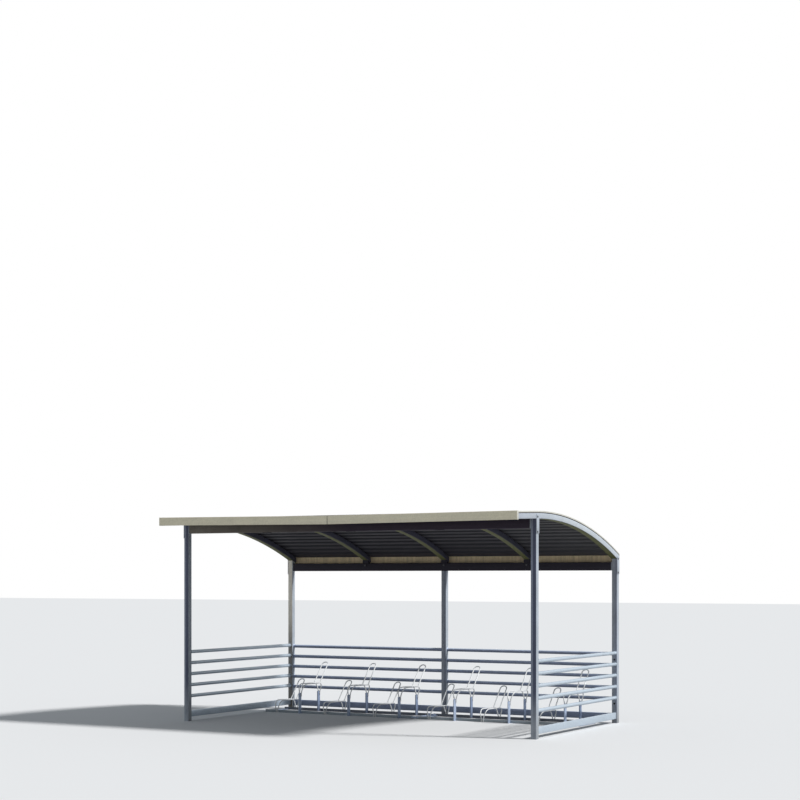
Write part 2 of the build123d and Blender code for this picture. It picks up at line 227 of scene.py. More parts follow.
class ShelterFixingSizes(bpy.types.PropertyGroup):
    """Bolts, screws and welds"""

    bolt_radius: length("Bolt head", 0.0085, "Radius of a bolt's head over its corners")
    bolt_height: length("Bolt head height", 0.0036, "Height of a bolt's head")
    washer_radius: length("Washer", 0.0115, "Radius of a bolt's washer")
    washer_height: length("Washer height", 0.0012, "Thickness of a washer")
    screw_radius: length("Screw head", 0.0046, "Radius of a roof screw's head over its corners")
    screw_height: length("Screw head height", 0.004, "Height of a roof screw's head")
    seal_radius: length("Screw seal", 0.008, "Radius of a roof screw's sealing washer")
    seal_height: length("Screw seal height", 0.0015, "Thickness of the sealing washer")
    bead_radius: length("Weld bead", 0.0048, "Radius of a weld bead")
    # Radius of the black discs of painted shade in the back right post's holes
    hole_shade_radius: length("Plug", 0.011, "Radius of the plugs in the back right post")
    cleat_width: length("Cleat width", 0.042, "Width of the cleats that hold the arches to the back beam")
    cleat_height: length("Cleat height", 0.05, "Height of those cleats")
    cleat_wall: length("Cleat thickness", 0.004, "Thickness of the cleats")
    saddle_width: length("Saddle width", 0.095, "Width of the plates that hold the arches to the front beam")


class ShelterFinishes(bpy.types.PropertyGroup):
    """Colours of the finishes"""

    post_zinc: colour("Posts", (0.45, 0.50, 0.56), "Hot-dip galvanised posts")
    # Painted shade: the front posts' fronts are a darker copy of the posts' zinc
    post_front_zinc: colour("Posts' fronts", (0.32, 0.36, 0.46), "Duller fronts of the front posts")
    # Painted shade: the back posts' fronts fade across to a darker painted reflection band
    back_post_zinc: colour("Back posts' fronts", (0.44, 0.48, 0.55), "Fronts of the back posts")
    # Painted shade below and painted light above on the back left post's front
    left_post_zinc: colour("Back left post", (0.27, 0.26, 0.25), "Front of the back left post, paler above")
    # Brown stain with painted shade: the front beam fades to near black from its left end to the middle and
    # stays so on the right
    front_beam_zinc: colour("Front beam", (0.31, 0.28, 0.23), "Stained zinc of the front beam")
    # Painted shade: the back beam's zinc is made almost black
    back_beam_zinc: colour("Back beam", (0.04, 0.036, 0.05), "Darkened zinc of the back beam")
    # Painted shade and painted green bounce light on the arches' undersides
    arch_zinc: colour("Arches", (0.15, 0.155, 0.06), "Weathered zinc of the arches")
    # Painted shade: a darker bluish copy of the arches' zinc for the webs in shade
    arch_web_zinc: colour("Arch webs", (0.09, 0.09, 0.125), "Duller webs of the inner arches")
    verge_zinc: colour("End arch", (0.44, 0.48, 0.54), "Clean zinc of the right end arch's outer side")
    # Dark tone of the ribbed sheet, lighter towards the right end with painted light
    sheet_coat: colour("Roof sheet", (0.040, 0.038, 0.046), "Dark coat of the ribbed sheet")
    fascia_zinc: colour("Fascia", (0.93, 0.87, 0.67), "Pale weathered zinc of the front trims")
    trim_zinc: colour("Edge trims", (0.60, 0.59, 0.53), "Weathered zinc of the rear trims and the verges")
    trim_stain: colour("Rear trims' fronts", (0.87, 0.70, 0.44), "Stained inner side of the rear trims")
    tube_zinc: colour("Side tubes", (0.80, 0.85, 0.91), "Bright zinc of the side panels' tubes")
    # Painted light: a brighter copy of the tube zinc for the left panel
    left_tube_zinc: colour("Left tubes", (0.97, 0.99, 1.0), "Brightest zinc of the left panel's tubes")
    # Painted shade: a darker bluish copy of the tube zinc for the back panels
    back_tube_zinc: colour("Back tubes", (0.46, 0.53, 0.72), "Bluish zinc of the back panels' tubes")
    kick_zinc: colour("Kick rails", (0.52, 0.60, 0.68), "Bright zinc of the side panels' kick rails")
    wire_zinc: colour("Rack wire", (0.90, 0.92, 0.93), "Bright zinc of the wheel holders")
    # Its blue tint is painted sky light on the front uprights in shade
    flat_zinc: colour("Front uprights", (0.48, 0.57, 0.74), "Bright zinc of the rack's front uprights")
    # Painted shade: a darker bluish copy for the rear uprights
    rear_flat_zinc: colour("Rear uprights", (0.26, 0.33, 0.48), "Dull zinc of the rack's rear uprights")
    rail_zinc: colour("Front rails", (0.54, 0.61, 0.67), "Pale zinc of the rack's front angles")
    # Painted shade: a darker copy of the rail zinc for the rear angles
    rear_rail_zinc: colour("Rear rails", (0.20, 0.22, 0.27), "Dull zinc of the rack's rear angles")
    # Painted shade: bolts and screws are made very dark
    fixing_zinc: colour("Fixings", (0.10, 0.10, 0.11), "Dull zinc of bolts and screws")
    # Painted shade: black discs stand for the holes in the back right post
    plug_black: colour("Plugs", (0.02, 0.02, 0.022), "Black plugs in the posts")
    grime: colour("Grime", (0.16, 0.14, 0.11), "Dirt splashed on the lowest parts")


class ShelterStudio(bpy.types.PropertyGroup):
    """Floor, light and camera"""

    sun_strength: strength("Sun strength", 3.0, "Strength of the main light")
    sun_size: angle("Sun size", 7, "Softness of shadows")
    sun_from: FloatVectorProperty(name="Sun from", default=(1.07, 0.25, 1.0), subtype="DIRECTION",
                                  description="Where the main light comes from")
    fill: strength("Fill", 0.28, "Strength of the light from all round")
    floor_size: length("Floor size", 160.0, "Side of the floor")
    eye: FloatVectorProperty(name="Eye", default=(8.838, -15.487, 1.5636), subtype="TRANSLATION",
                             unit="LENGTH", description="Place of the camera")
    turn: angle("Turn", 29.388, "Camera's turn")
    lens: FloatProperty(name="Lens", default=75.04,
                        description="Focal length in millimetres on a 36 mm sensor")
    rise: FloatProperty(name="Rise", default=0.2215, description="Shift that frames the shelter")


GROUPS = {
    "shelter_frame": ShelterFrameSizes,
    "shelter_roof": ShelterRoofSizes,
    "shelter_panels": ShelterPanelSizes,
    "shelter_rack": ShelterRackSizes,
    "shelter_fixings": ShelterFixingSizes,
    "shelter_finishes": ShelterFinishes,
    "shelter_studio": ShelterStudio,
}


# The roof's line


class RoofLine:
    """The line of the arches' undersides: a straight front run, then an arc down to the back.

    A distance is measured back from where the arc starts, and a rise square to the line."""

    def __init__(self, sizes):
        self.slope = sizes.front_slope
        self.radius = sizes.radius
        self.centre_y = FRAME_FRONT + sizes.bend_inset + self.radius * math.sin(self.slope)
        self.centre_z = sizes.bend_height - self.radius * math.cos(self.slope)

    def point(self, distance, rise):
        """(y, z) at a distance and a rise."""
        turn = self.slope - max(distance, 0) / self.radius
        reach = self.radius + rise
        along = min(distance, 0)
        y = self.centre_y - reach * math.sin(turn) + along * math.cos(self.slope)
        return y, self.centre_z + reach * math.cos(turn) + along * math.sin(self.slope)

    def distance(self, y, rise):
        """The distance at which the line at that rise passes y."""
        reach = self.radius + rise
        along = (y - self.centre_y + reach * math.sin(self.slope)) / math.cos(self.slope)
        if along <= 0:
            return along
        return (self.slope - math.asin((self.centre_y - y) / reach)) * self.radius

    def height(self, y, rise=0.0):
        """Height of the line at that rise."""
        return self.point(self.distance(y, rise), rise)[1]

    def away(self, distance):
        """The way that the line's upper side faces."""
        turn = self.slope - max(distance, 0) / self.radius
        return Vector((0, -math.sin(turn), math.cos(turn)))

    def stations(self, y_from, y_to, count):
        """Places along the line, cut upright at both ends, that take an x and a rise."""
        def station(share):
            def place(x, rise):
                start = self.distance(y_from, rise)
                end = self.distance(y_to, rise)
                return Vector((x, *self.point(start + (end - start) * share, rise)))
            return place
        return [station(step / count) for step in range(count + 1)]


# Mesh work


def folded(route, wall, bend, steps=FOLD_STEPS, closed=False):
    """Pairs of points on the two faces of a folded strip, whose wall lies to the left of the route."""
    route = [Vector(point) for point in route]
    last = len(route) - 1
    pairs = []
    for number, corner in enumerate(route):
        if not closed and number in (0, last):
            ahead = route[1] - route[0] if number == 0 else route[last] - route[last - 1]
            pairs.append((corner, corner + Vector((-ahead.y, ahead.x)).normalized() * wall))
            continue
        before = (corner - route[number - 1]).normalized()
        after = (route[(number + 1) % len(route)] - corner).normalized()
        turn = math.atan2(before.cross(after), before.dot(after))
        side = math.copysign(1, turn)
        radius = bend + wall if side > 0 else bend
        outward = Vector((before.y, -before.x)) * side
        centre = corner - before * (radius * math.tan(abs(turn) / 2)) - outward * radius
        for step in range(steps + 1):
            spoke = Matrix.Rotation(turn * step / steps, 2) @ outward
            pairs.append((centre + spoke * radius, centre + spoke * (radius - side * wall)))
    return pairs


def rectangle(width, height):
    """A rectangle's corners round the origin, turning left."""
    x, y = width / 2, height / 2
    return [(-x, -y), (x, -y), (x, y), (-x, y)]


def swept(bm, pairs, places, closed=False):
    """A folded section carried through places, as one closed shell."""
    rings = [[(bm.verts.new(place(*outer)), bm.verts.new(place(*inner))) for outer, inner in pairs]
             for place in places]
    spans = [(number, number + 1) for number in range(len(pairs) - 1)]
    if closed:
        spans.append((len(pairs) - 1, 0))
    for near, far in zip(rings, rings[1:]):
        for start, end in spans:
            for face in (0, 1):
                bm.faces.new((near[start][face], near[end][face], far[end][face], far[start][face]))
        if not closed:
            for end in (0, -1):
                bm.faces.new((near[end][0], near[end][1], far[end][1], far[end][0]))
    for ring in (rings[0], rings[-1]):
        for start, end in spans:
            bm.faces.new((ring[start][0], ring[end][0], ring[end][1], ring[start][1]))


def along_x(ends, y=0.0, z=0.0, way=1):
    """Places at two values of x for a section of (y, z), turned round where way is -1."""
    return [lambda across, up, x=x: Vector((x, y + way * across, z + up)) for x in ends]


def along_y(ends, x, z):
    """Places at two values of y for a section of (x, z)."""
    return [lambda across, up, y=y: Vector((x + across, y, z + up)) for y in ends]


def tube(bm, size, wall, bend, places):
    """A tube of a width and a height, with rounded corners and open ends."""
    swept(bm, folded(rectangle(*size), wall, bend, CORNER_STEPS, closed=True), places, closed=True)


def plate(bm, low, high, edge):
    """A flat plate between two corners, its edges rounded."""
    low, high = Vector(low), Vector(high)
    place = Matrix.LocRotScale((low + high) / 2, None, high - low)
    made = bmesh.ops.create_cube(bm, size=1, matrix=place)["verts"]
    edges = {side for vert in made for side in vert.link_edges}
    bmesh.ops.bevel(bm, geom=list(edges), offset=edge, segments=2, profile=0.5, affect="EDGES")


def rounded(points, radii, steps):
    """The same route with its inner corners rounded; radius 0 keeps a corner."""
    points = [Vector(point) for point in points]
    route = [points[0]]
    for before, corner, after, radius in zip(points, points[1:], points[2:], radii):
        if not radius:
            route.append(corner)
            continue
        back = (before - corner).normalized()
        on = (after - corner).normalized()
        half = back.angle(on) / 2
        middle = (back + on).normalized()
        centre = corner + middle * (radius / math.sin(half))
        across = (on - back).normalized()
        for step in range(steps + 1):
            turn = (math.pi - 2 * half) * (step / steps - 0.5)
            route.append(centre - middle * (radius * math.cos(turn)) + across * (radius * math.sin(turn)))
    return route + [points[-1]]


def bar(bm, route, radius):
    """A round bar along a route, closed at both ends."""
    runs = [(end - start).normalized() for start, end in zip(route, route[1:])]
    ways = [runs[0]] + [(a + b).normalized() for a, b in zip(runs, runs[1:])] + [runs[-1]]
    across = ways[0].orthogonal().normalized()
    rings = []
    for point, way in zip(route, ways):
        across = (across - way * across.dot(way)).normalized()
        up = way.cross(across)
        turns = [math.tau * side / WIRE_SIDES for side in range(WIRE_SIDES)]
        spokes = [across * math.cos(turn) + up * math.sin(turn) for turn in turns]
        rings.append([bm.verts.new(point + spoke * radius) for spoke in spokes])
    for near, far in zip(rings, rings[1:]):
        for side in range(WIRE_SIDES):
            on = (side + 1) % WIRE_SIDES
            bm.faces.new((near[side], near[on], far[on], far[side]))
    bm.faces.new(rings[0][::-1])
    bm.faces.new(rings[-1])


def add_piece(name, mesh, finishes, slot, *nodes):
    """Puts a finished mesh into the scene as a piece that stands for CAD nodes.

    The finishes are one name or a list of names, and a mesh that a tree made has its own already."""
    if isinstance(mesh, bmesh.types.BMesh):
        bm, mesh = mesh, bpy.data.meshes.new(name)
        bmesh.ops.recalc_face_normals(bm, faces=bm.faces)
        bm.to_mesh(mesh)
        bm.free()
    if not mesh.polygons:
        raise RuntimeError(f"{name} has no faces")
    if isinstance(finishes, str):
        finishes = [finishes]
    if not mesh.materials:
        for finish in finishes:
            mesh.materials.append(finish_of(finish))
    mesh.name = name
    mesh.shade_smooth()
    mesh.set_sharp_from_angle(angle=SHARP_ANGLE)
    piece = bpy.data.objects.new(name, mesh)
    bpy.context.scene.collection.objects.link(piece)
    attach(piece, "root")
    if nodes:
        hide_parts(*nodes)


# Node trees


def put(tree, kind, inputs=None, **settings):
    """One node with its settings; each input is a value or another node's socket."""
    node = tree.nodes.new(kind)
    for name, value in settings.items():
        setattr(node, name, value)
    for key, value in (inputs or {}).items():
        if isinstance(value, bpy.types.NodeSocket):
            tree.links.new(value, node.inputs[key])
        else:
            node.inputs[key].default_value = value
    return node


def calc(tree, operation, *values, clamp=False):
    """The result of one Math node."""
    node = put(tree, "ShaderNodeMath", dict(enumerate(values)), operation=operation, use_clamp=clamp)
    return node.outputs[0]


def blend(tree, factor, first, second, mode="MIX"):
    """Two colours mixed by a factor."""
    inputs = {0: factor, 6: first, 7: second}
    return put(tree, "ShaderNodeMix", inputs, data_type="RGBA", blend_type=mode).outputs[2]


def geometry_tree(name, sizes):
    """A geometry tree with a named input for each size, and its input node's sockets by name."""
    tree = bpy.data.node_groups.new(name, "GeometryNodeTree")
    tree.interface.new_socket("Geometry", in_out="INPUT", socket_type="NodeSocketGeometry")
    for label in sizes:
        kind = "NodeSocketInt" if label == "Count" or label == "Sides" else "NodeSocketFloat"
        tree.interface.new_socket(label, in_out="INPUT", socket_type=kind)
    tree.interface.new_socket("Material", in_out="INPUT", socket_type="NodeSocketMaterial")
    tree.interface.new_socket("Geometry", in_out="OUTPUT", socket_type="NodeSocketGeometry")
    return tree, put(tree, "NodeGroupInput").outputs


def end_tree(tree, given, geometry):
    """Realizes what a tree has made and gives it its material."""
    real = put(tree, "GeometryNodeRealizeInstances", {"Geometry": geometry}).outputs[0]
    done = put(tree, "GeometryNodeSetMaterial", {"Geometry": real, "Material": given["Material"]}).outputs[0]
    put(tree, "NodeGroupOutput", {"Geometry": done})


def grown(name, seed, tree, values):
    """The plain mesh that a tree makes on a seed mesh."""
    holder = bpy.data.objects.new(name, seed)
    bpy.context.scene.collection.objects.link(holder)
    modifier = holder.modifiers.new(name, "NODES")
    modifier.node_group = tree
    for item in tree.interface.items_tree:
        if item.in_out == "INPUT" and item.name in values:
            modifier[item.identifier] = values[item.name]
    bpy.context.view_layer.update()
    mesh = bpy.data.meshes.new_from_object(holder.evaluated_get(bpy.context.evaluated_depsgraph_get()))
    holder.modifiers.remove(modifier)
    bpy.data.objects.remove(holder)
    return mesh


def seeds(name, places):
    """Loose points, each with the way that its fixing or tube faces and how far it reaches."""
    spots, facings, reaches = zip(*places)
    mesh = bpy.data.meshes.new(name)
    mesh.from_pydata(spots, [], [])
    values = [value for facing in facings for value in facing]
    mesh.attributes.new("facing", "FLOAT_VECTOR", "POINT").data.foreach_set("vector", values)
    mesh.attributes.new("reach", "FLOAT", "POINT").data.foreach_set("value", reaches)
    return mesh


def add_spread(name, places, tree, values, finish, slot):
    """A piece made of the small shape that a tree puts at each place."""
    values = {**values, "Material": finish_of(finish)}
    add_piece(name, grown(name, seeds(f"{name} places", places), tree, values), finish, slot)


def named(tree, name, kind="FLOAT_VECTOR"):
    """An attribute of the points."""
    return put(tree, "GeometryNodeInputNamedAttribute", {"Name": name}, data_type=kind).outputs["Attribute"]


def combined(tree, **axes):
    """A vector from its values by axis."""
    return put(tree, "ShaderNodeCombineXYZ", axes).outputs[0]


def scaled(tree, vector, scale):
    """A vector made longer or shorter."""
    return put(tree, "ShaderNodeVectorMath", {0: vector, "Scale": scale}, operation="SCALE").outputs[0]


def standing(tree, way):
    """The rotation that stands a shape up along a way."""
    return put(tree, "FunctionNodeAlignRotationToVector", {"Vector": way}, axis="Z").outputs[0]


def lifted(tree, geometry, height):
    """Geometry moved up by a height."""
    inputs = {"Geometry": geometry, "Translation": combined(tree, Z=height)}
    return put(tree, "GeometryNodeTransform", inputs).outputs[0]


def moved(tree, geometry, **inputs):
    """Geometry whose points go to a Position, or by an Offset."""
    return put(tree, "GeometryNodeSetPosition", {"Geometry": geometry, **inputs}).outputs[0]


def cylinder(tree, sides, radius, depth):
    """A cylinder round its own middle."""
    inputs = {"Vertices": sides, "Radius": radius, "Depth": depth}
    return put(tree, "GeometryNodeMeshCylinder", inputs).outputs["Mesh"]


def at_points(tree, points, shape, **inputs):
    """A shape at each point, with a Rotation and a Scale where they are given."""
    inputs = {"Points": points, "Instance": shape, **inputs}
    return put(tree, "GeometryNodeInstanceOnPoints", inputs).outputs[0]


def joined(tree, *shapes):
    """Several shapes as one geometry."""
    node = put(tree, "GeometryNodeJoinGeometry")
    for shape in shapes:
        tree.links.new(shape, node.inputs[0])
    return node.outputs[0]


# The sizes of the bolt tree, in the order in which bolt takes them
BOLT_INPUTS = ["Head Radius", "Head Height", "Sides", "Washer Radius", "Washer Height"]


def bolt_tree():
    """A head with corners on a round washer, at each point."""
    tree, given = geometry_tree("bolts", BOLT_INPUTS)
    washer = cylinder(tree, ROUND_SIDES, given["Washer Radius"], given["Washer Height"])
    head = cylinder(tree, given["Sides"], given["Head Radius"], given["Head Height"])
    half = calc(tree, "MULTIPLY", given["Washer Height"], 0.5)
    up = calc(tree, "MULTIPLY_ADD", given["Head Height"], 0.5, given["Washer Height"])
    both = joined(tree, lifted(tree, washer, half), lifted(tree, head, up))
    turn = standing(tree, named(tree, "facing"))
    end_tree(tree, given, at_points(tree, given["Geometry"], both, Rotation=turn))
    return tree


def bolt(*sizes):
    """Values for the bolt tree."""
    return dict(zip(BOLT_INPUTS, sizes))


def rail_tree():
    """A stack of tubes over each point, each with a weld at both its ends."""
    tree, given = geometry_tree("tube stack", ["Count", "Pitch", "Radius", "Weld Reach"])
    facing = named(tree, "facing")
    reach = named(tree, "reach", "FLOAT")
    step = combined(tree, Z=given["Pitch"])
    stack = put(tree, "GeometryNodeMeshLine", {"Count": given["Count"], "Offset": step}).outputs[0]
    stacked = at_points(tree, given["Geometry"], stack)
    starts = put(tree, "GeometryNodeRealizeInstances", {"Geometry": stacked}).outputs[0]
    unit = lifted(tree, cylinder(tree, TUBE_SIDES, given["Radius"], 1.0), 0.5)
    turn = standing(tree, facing)
    tubes = at_points(tree, starts, unit, Rotation=turn, Scale=combined(tree, X=1.0, Y=1.0, Z=reach))
    wide = calc(tree, "ADD", given["Radius"], given["Weld Reach"])
    bead = put(tree, "GeometryNodeMeshCone", {
        "Vertices": TUBE_SIDES, "Radius Top": given["Radius"], "Radius Bottom": wide,
        "Depth": given["Weld Reach"]}).outputs["Mesh"]
    near = at_points(tree, starts, bead, Rotation=turn)
    ends = moved(tree, starts, Offset=scaled(tree, facing, reach))
    far = at_points(tree, ends, bead, Rotation=standing(tree, scaled(tree, facing, -1.0)))
    end_tree(tree, given, joined(tree, tubes, near, far))
    return tree


def bead_tree():
    """A round weld bead at each point, stretched to its reach."""
    tree, given = geometry_tree("weld beads", ["Radius"])
    inputs = {"Radius": given["Radius"], "Subdivisions": 2}
    ball = put(tree, "GeometryNodeMeshIcoSphere", inputs).outputs["Mesh"]
    long = calc(tree, "DIVIDE", named(tree, "reach", "FLOAT"), given["Radius"])
    size = combined(tree, X=1.0, Y=1.0, Z=long)
    turn = standing(tree, named(tree, "facing"))
    end_tree(tree, given, at_points(tree, given["Geometry"], ball, Rotation=turn, Scale=size))
    return tree


def sheet_tree():
    """A ribbed sheet bent to the roof's line, from its left to its right end."""
    sizes = ["Left", "Right", "Depth", "Run", "Rib Start", "Rib End", "Rib Pitch", "Rib Foot", "Rib Flank",
             "Rib Height", "Skin", "Radius", "Slope", "Centre Y", "Centre Z", "Count"]
    tree, given = geometry_tree("ribbed sheet", sizes)
    operations = ("ADD", "SUBTRACT", "MULTIPLY", "DIVIDE")
    plus, minus, times, over = (partial(calc, tree, operation) for operation in operations)
    cuts = {"Vertices X": 2, "Vertices Y": given["Count"], "Vertices Z": 2}
    slab = put(tree, "GeometryNodeMeshCube", {"Size": (1.0, 1.0, 1.0), **cuts}).outputs["Mesh"]
    position = put(tree, "GeometryNodeInputPosition").outputs[0]
    at = put(tree, "ShaderNodeSeparateXYZ", {0: position}).outputs
    width = minus(given["Right"], given["Left"])
    x = calc(tree, "MULTIPLY_ADD", plus(at["X"], 0.5), width, given["Left"])
    distance = times(plus(at["Y"], 0.5), given["Depth"])
    phase = calc(tree, "FLOORED_MODULO", minus(distance, given["Rib Start"]), given["Rib Pitch"])
    inside = calc(tree, "MINIMUM", phase, minus(given["Rib Foot"], phase))
    share = over(inside, given["Rib Flank"], clamp=True)
    started = calc(tree, "GREATER_THAN", distance, given["Rib Start"])
    unended = calc(tree, "LESS_THAN", distance, given["Rib End"])
    rib = times(times(share, given["Rib Height"]), times(started, unended))
    rise = calc(tree, "MULTIPLY_ADD", plus(at["Z"], 0.5), given["Skin"], rib)
    past = minus(distance, given["Run"])
    turned = over(calc(tree, "MAXIMUM", past, 0.0), given["Radius"])
    turn = minus(given["Slope"], turned)
    reach = plus(given["Radius"], rise)
    along = calc(tree, "MINIMUM", past, 0.0)
    back = times(along, calc(tree, "COSINE", given["Slope"]))
    down = times(along, calc(tree, "SINE", given["Slope"]))
    y = minus(plus(given["Centre Y"], back), times(reach, calc(tree, "SINE", turn)))
    z = plus(plus(given["Centre Z"], down), times(reach, calc(tree, "COSINE", turn)))
    end_tree(tree, given, moved(tree, slab, Position=combined(tree, X=x, Y=y, Z=z)))
    return tree


# Finishes


# Scales of the patterns, and of the streaks for the axis that they run along
CRYSTALS = 95.0
CLOUDS = 5.0
GRAIN = 240.0
STRETCHES = {"X": (2.0, 45.0, 45.0), "Y": (45.0, 2.0, 45.0), "Z": (45.0, 45.0, 2.0)}

DUST = (0.24, 0.235, 0.22)
ROUGHNESS_SPREAD = 0.24
RELIEF_DEPTH = 0.0006
CRYSTAL_RELIEF = 0.6

# Light from above on an upright face, and how much a face that looks straight up or down adds or loses
UPRIGHT_SHARE = 0.4
FACING_SHARE = 0.8


def cleared(owner):
    """The emptied node tree of a material or a world."""
    owner.use_nodes = True
    owner.node_tree.nodes.clear()
    return owner.node_tree


def seen(tree):
    """1 for rays from the camera and in gloss or glass."""
    ray = put(tree, "ShaderNodeLightPath").outputs
    mirrored = calc(tree, "MAXIMUM", ray["Is Glossy Ray"], ray["Is Transmission Ray"])
    return calc(tree, "MAXIMUM", ray["Is Camera Ray"], mirrored)


def noise(tree, place, scale, detail, roughness=0.5):
    """Soft noise round a middle value of 0.5."""
    inputs = {"Vector": place, "Scale": scale, "Detail": detail, "Roughness": roughness}
    return put(tree, "ShaderNodeTexNoise", inputs).outputs[0]


def faded(tree, axes, tone, fade):
    """A tone that turns into another along an axis, or across a piece."""
    axis, start, end, last_tone = fade
    if axis == "across":
        along = put(tree, "ShaderNodeAttribute", attribute_name="across").outputs["Fac"]
    else:
        along = axes[axis]
    share = calc(tree, "DIVIDE", calc(tree, "SUBTRACT", along, start), end - start, clamp=True)
    return blend(tree, share, (*tone, 1.0), (*last_tone, 1.0))


def lit_from_above(tree, value, lift):
    """A value that is lower on what faces down and higher on what faces up: painted sky light on top and
    painted shade underneath.
    """
    low, high = lift
    share = calc(tree, "MULTIPLY_ADD", facing_up(tree), FACING_SHARE, UPRIGHT_SHARE, clamp=True)
    return calc(tree, "MULTIPLY", value, calc(tree, "MULTIPLY_ADD", share, high - low, low))


def facing_up(tree):
    """How far a face faces up, from -1 to 1."""
    normal = put(tree, "ShaderNodeNewGeometry").outputs["Normal"]
    return put(tree, "ShaderNodeSeparateXYZ", {0: normal}).outputs["Z"]


def dirtied(tree, axes, surface, cloud, grime, grime_height, tone):
    """Dirt splashed up from the ground."""
    near = calc(tree, "SUBTRACT", 1.0, calc(tree, "DIVIDE", axes["Z"], grime_height), clamp=True)
    splash = calc(tree, "MULTIPLY", near, calc(tree, "MULTIPLY", cloud, 2 * grime), clamp=True)
    return blend(tree, splash, surface, (*(tone or bpy.context.scene.shelter_finishes.grime), 1.0))


def dust_and_sheen_on_top(tree, surface, cloud, dust_and_sheen, tone):
    """Dust on what faces up on the roof sheet, and a painted sky sheen on what faces up on the back tubes.
    """
    level = calc(tree, "MULTIPLY_ADD", facing_up(tree), 2.0, -1.0, clamp=True)
    settled = calc(tree, "MULTIPLY", level, calc(tree, "MULTIPLY", cloud, 2 * dust_and_sheen), clamp=True)
    return blend(tree, settled, surface, (*tone, 1.0))


def zinc(name, tone, roughness=0.55, metallic=0.05, specular=0.3, crystals=0.1, clouds=0.2, streaks=0.1,
         streak_axis="Z", grime=0.0, grime_height=0.3, grime_tone=None, dust_and_sheen=0.0, dust_and_sheen_tone=DUST,
         bump=0.12, fade=None, lift=None):
    """Weathered zinc or a dark sheet tone: crystals, cloudy patches, streaks, dirt near the ground, painted
    light from above, and painted shade or light that fades along a piece. Dust on top of some finishes, and
    a painted sky sheen on top of others.
    """
    material = bpy.data.materials.new(name)
    tree = cleared(material)
    place = put(tree, "ShaderNodeTexCoord").outputs["Object"]
    axes = put(tree, "ShaderNodeSeparateXYZ", {0: place}).outputs
    cells = put(tree, "ShaderNodeTexVoronoi", {"Vector": place, "Scale": CRYSTALS, "Randomness": 1.0})
    cell = put(tree, "ShaderNodeSeparateColor", {0: cells.outputs["Color"]}).outputs[0]
    cloud = noise(tree, place, CLOUDS, detail=6.0, roughness=0.6)
    drawn = put(tree, "ShaderNodeMapping", {"Vector": place, "Scale": STRETCHES[streak_axis]}).outputs[0]
    streak = noise(tree, drawn, 1.0, detail=3.0)
    value = calc(tree, "MULTIPLY_ADD", cell, crystals, 1.0 - crystals / 2)
    for pattern, share in ((cloud, clouds), (streak, streaks)):
        value = calc(tree, "MULTIPLY_ADD", pattern, 2 * share, calc(tree, "SUBTRACT", value, share))
    # Painted sky light on top and painted shade underneath
    if lift:
        value = lit_from_above(tree, value, lift)
    shade = put(tree, "ShaderNodeCombineColor", {0: value, 1: value, 2: value}).outputs[0]
    base = faded(tree, axes, tone, fade) if fade else (*tone, 1.0)
    surface = blend(tree, 1.0, shade, base, "MULTIPLY")
    if grime:
        surface = dirtied(tree, axes, surface, cloud, grime, grime_height, grime_tone)
    if dust_and_sheen:
        surface = dust_and_sheen_on_top(tree, surface, cloud, dust_and_sheen, dust_and_sheen_tone)
    least = roughness - ROUGHNESS_SPREAD / 2
    rough = calc(tree, "MULTIPLY_ADD", cloud, ROUGHNESS_SPREAD, least, clamp=True)
    fine = noise(tree, place, GRAIN, detail=2.0)
    height = calc(tree, "MULTIPLY_ADD", cells.outputs["Distance"], CRYSTAL_RELIEF, fine)
    relief = put(tree, "ShaderNodeBump", {
        "Strength": bump, "Distance": RELIEF_DEPTH, "Height": height}).outputs[0]
    shader = put(tree, "ShaderNodeBsdfPrincipled", {
        "Base Color": surface, "Roughness": rough, "Metallic": metallic, "Specular IOR Level": specular,
        "Normal": relief})
    put(tree, "ShaderNodeOutputMaterial", {"Surface": shader.outputs["BSDF"]})
    return material


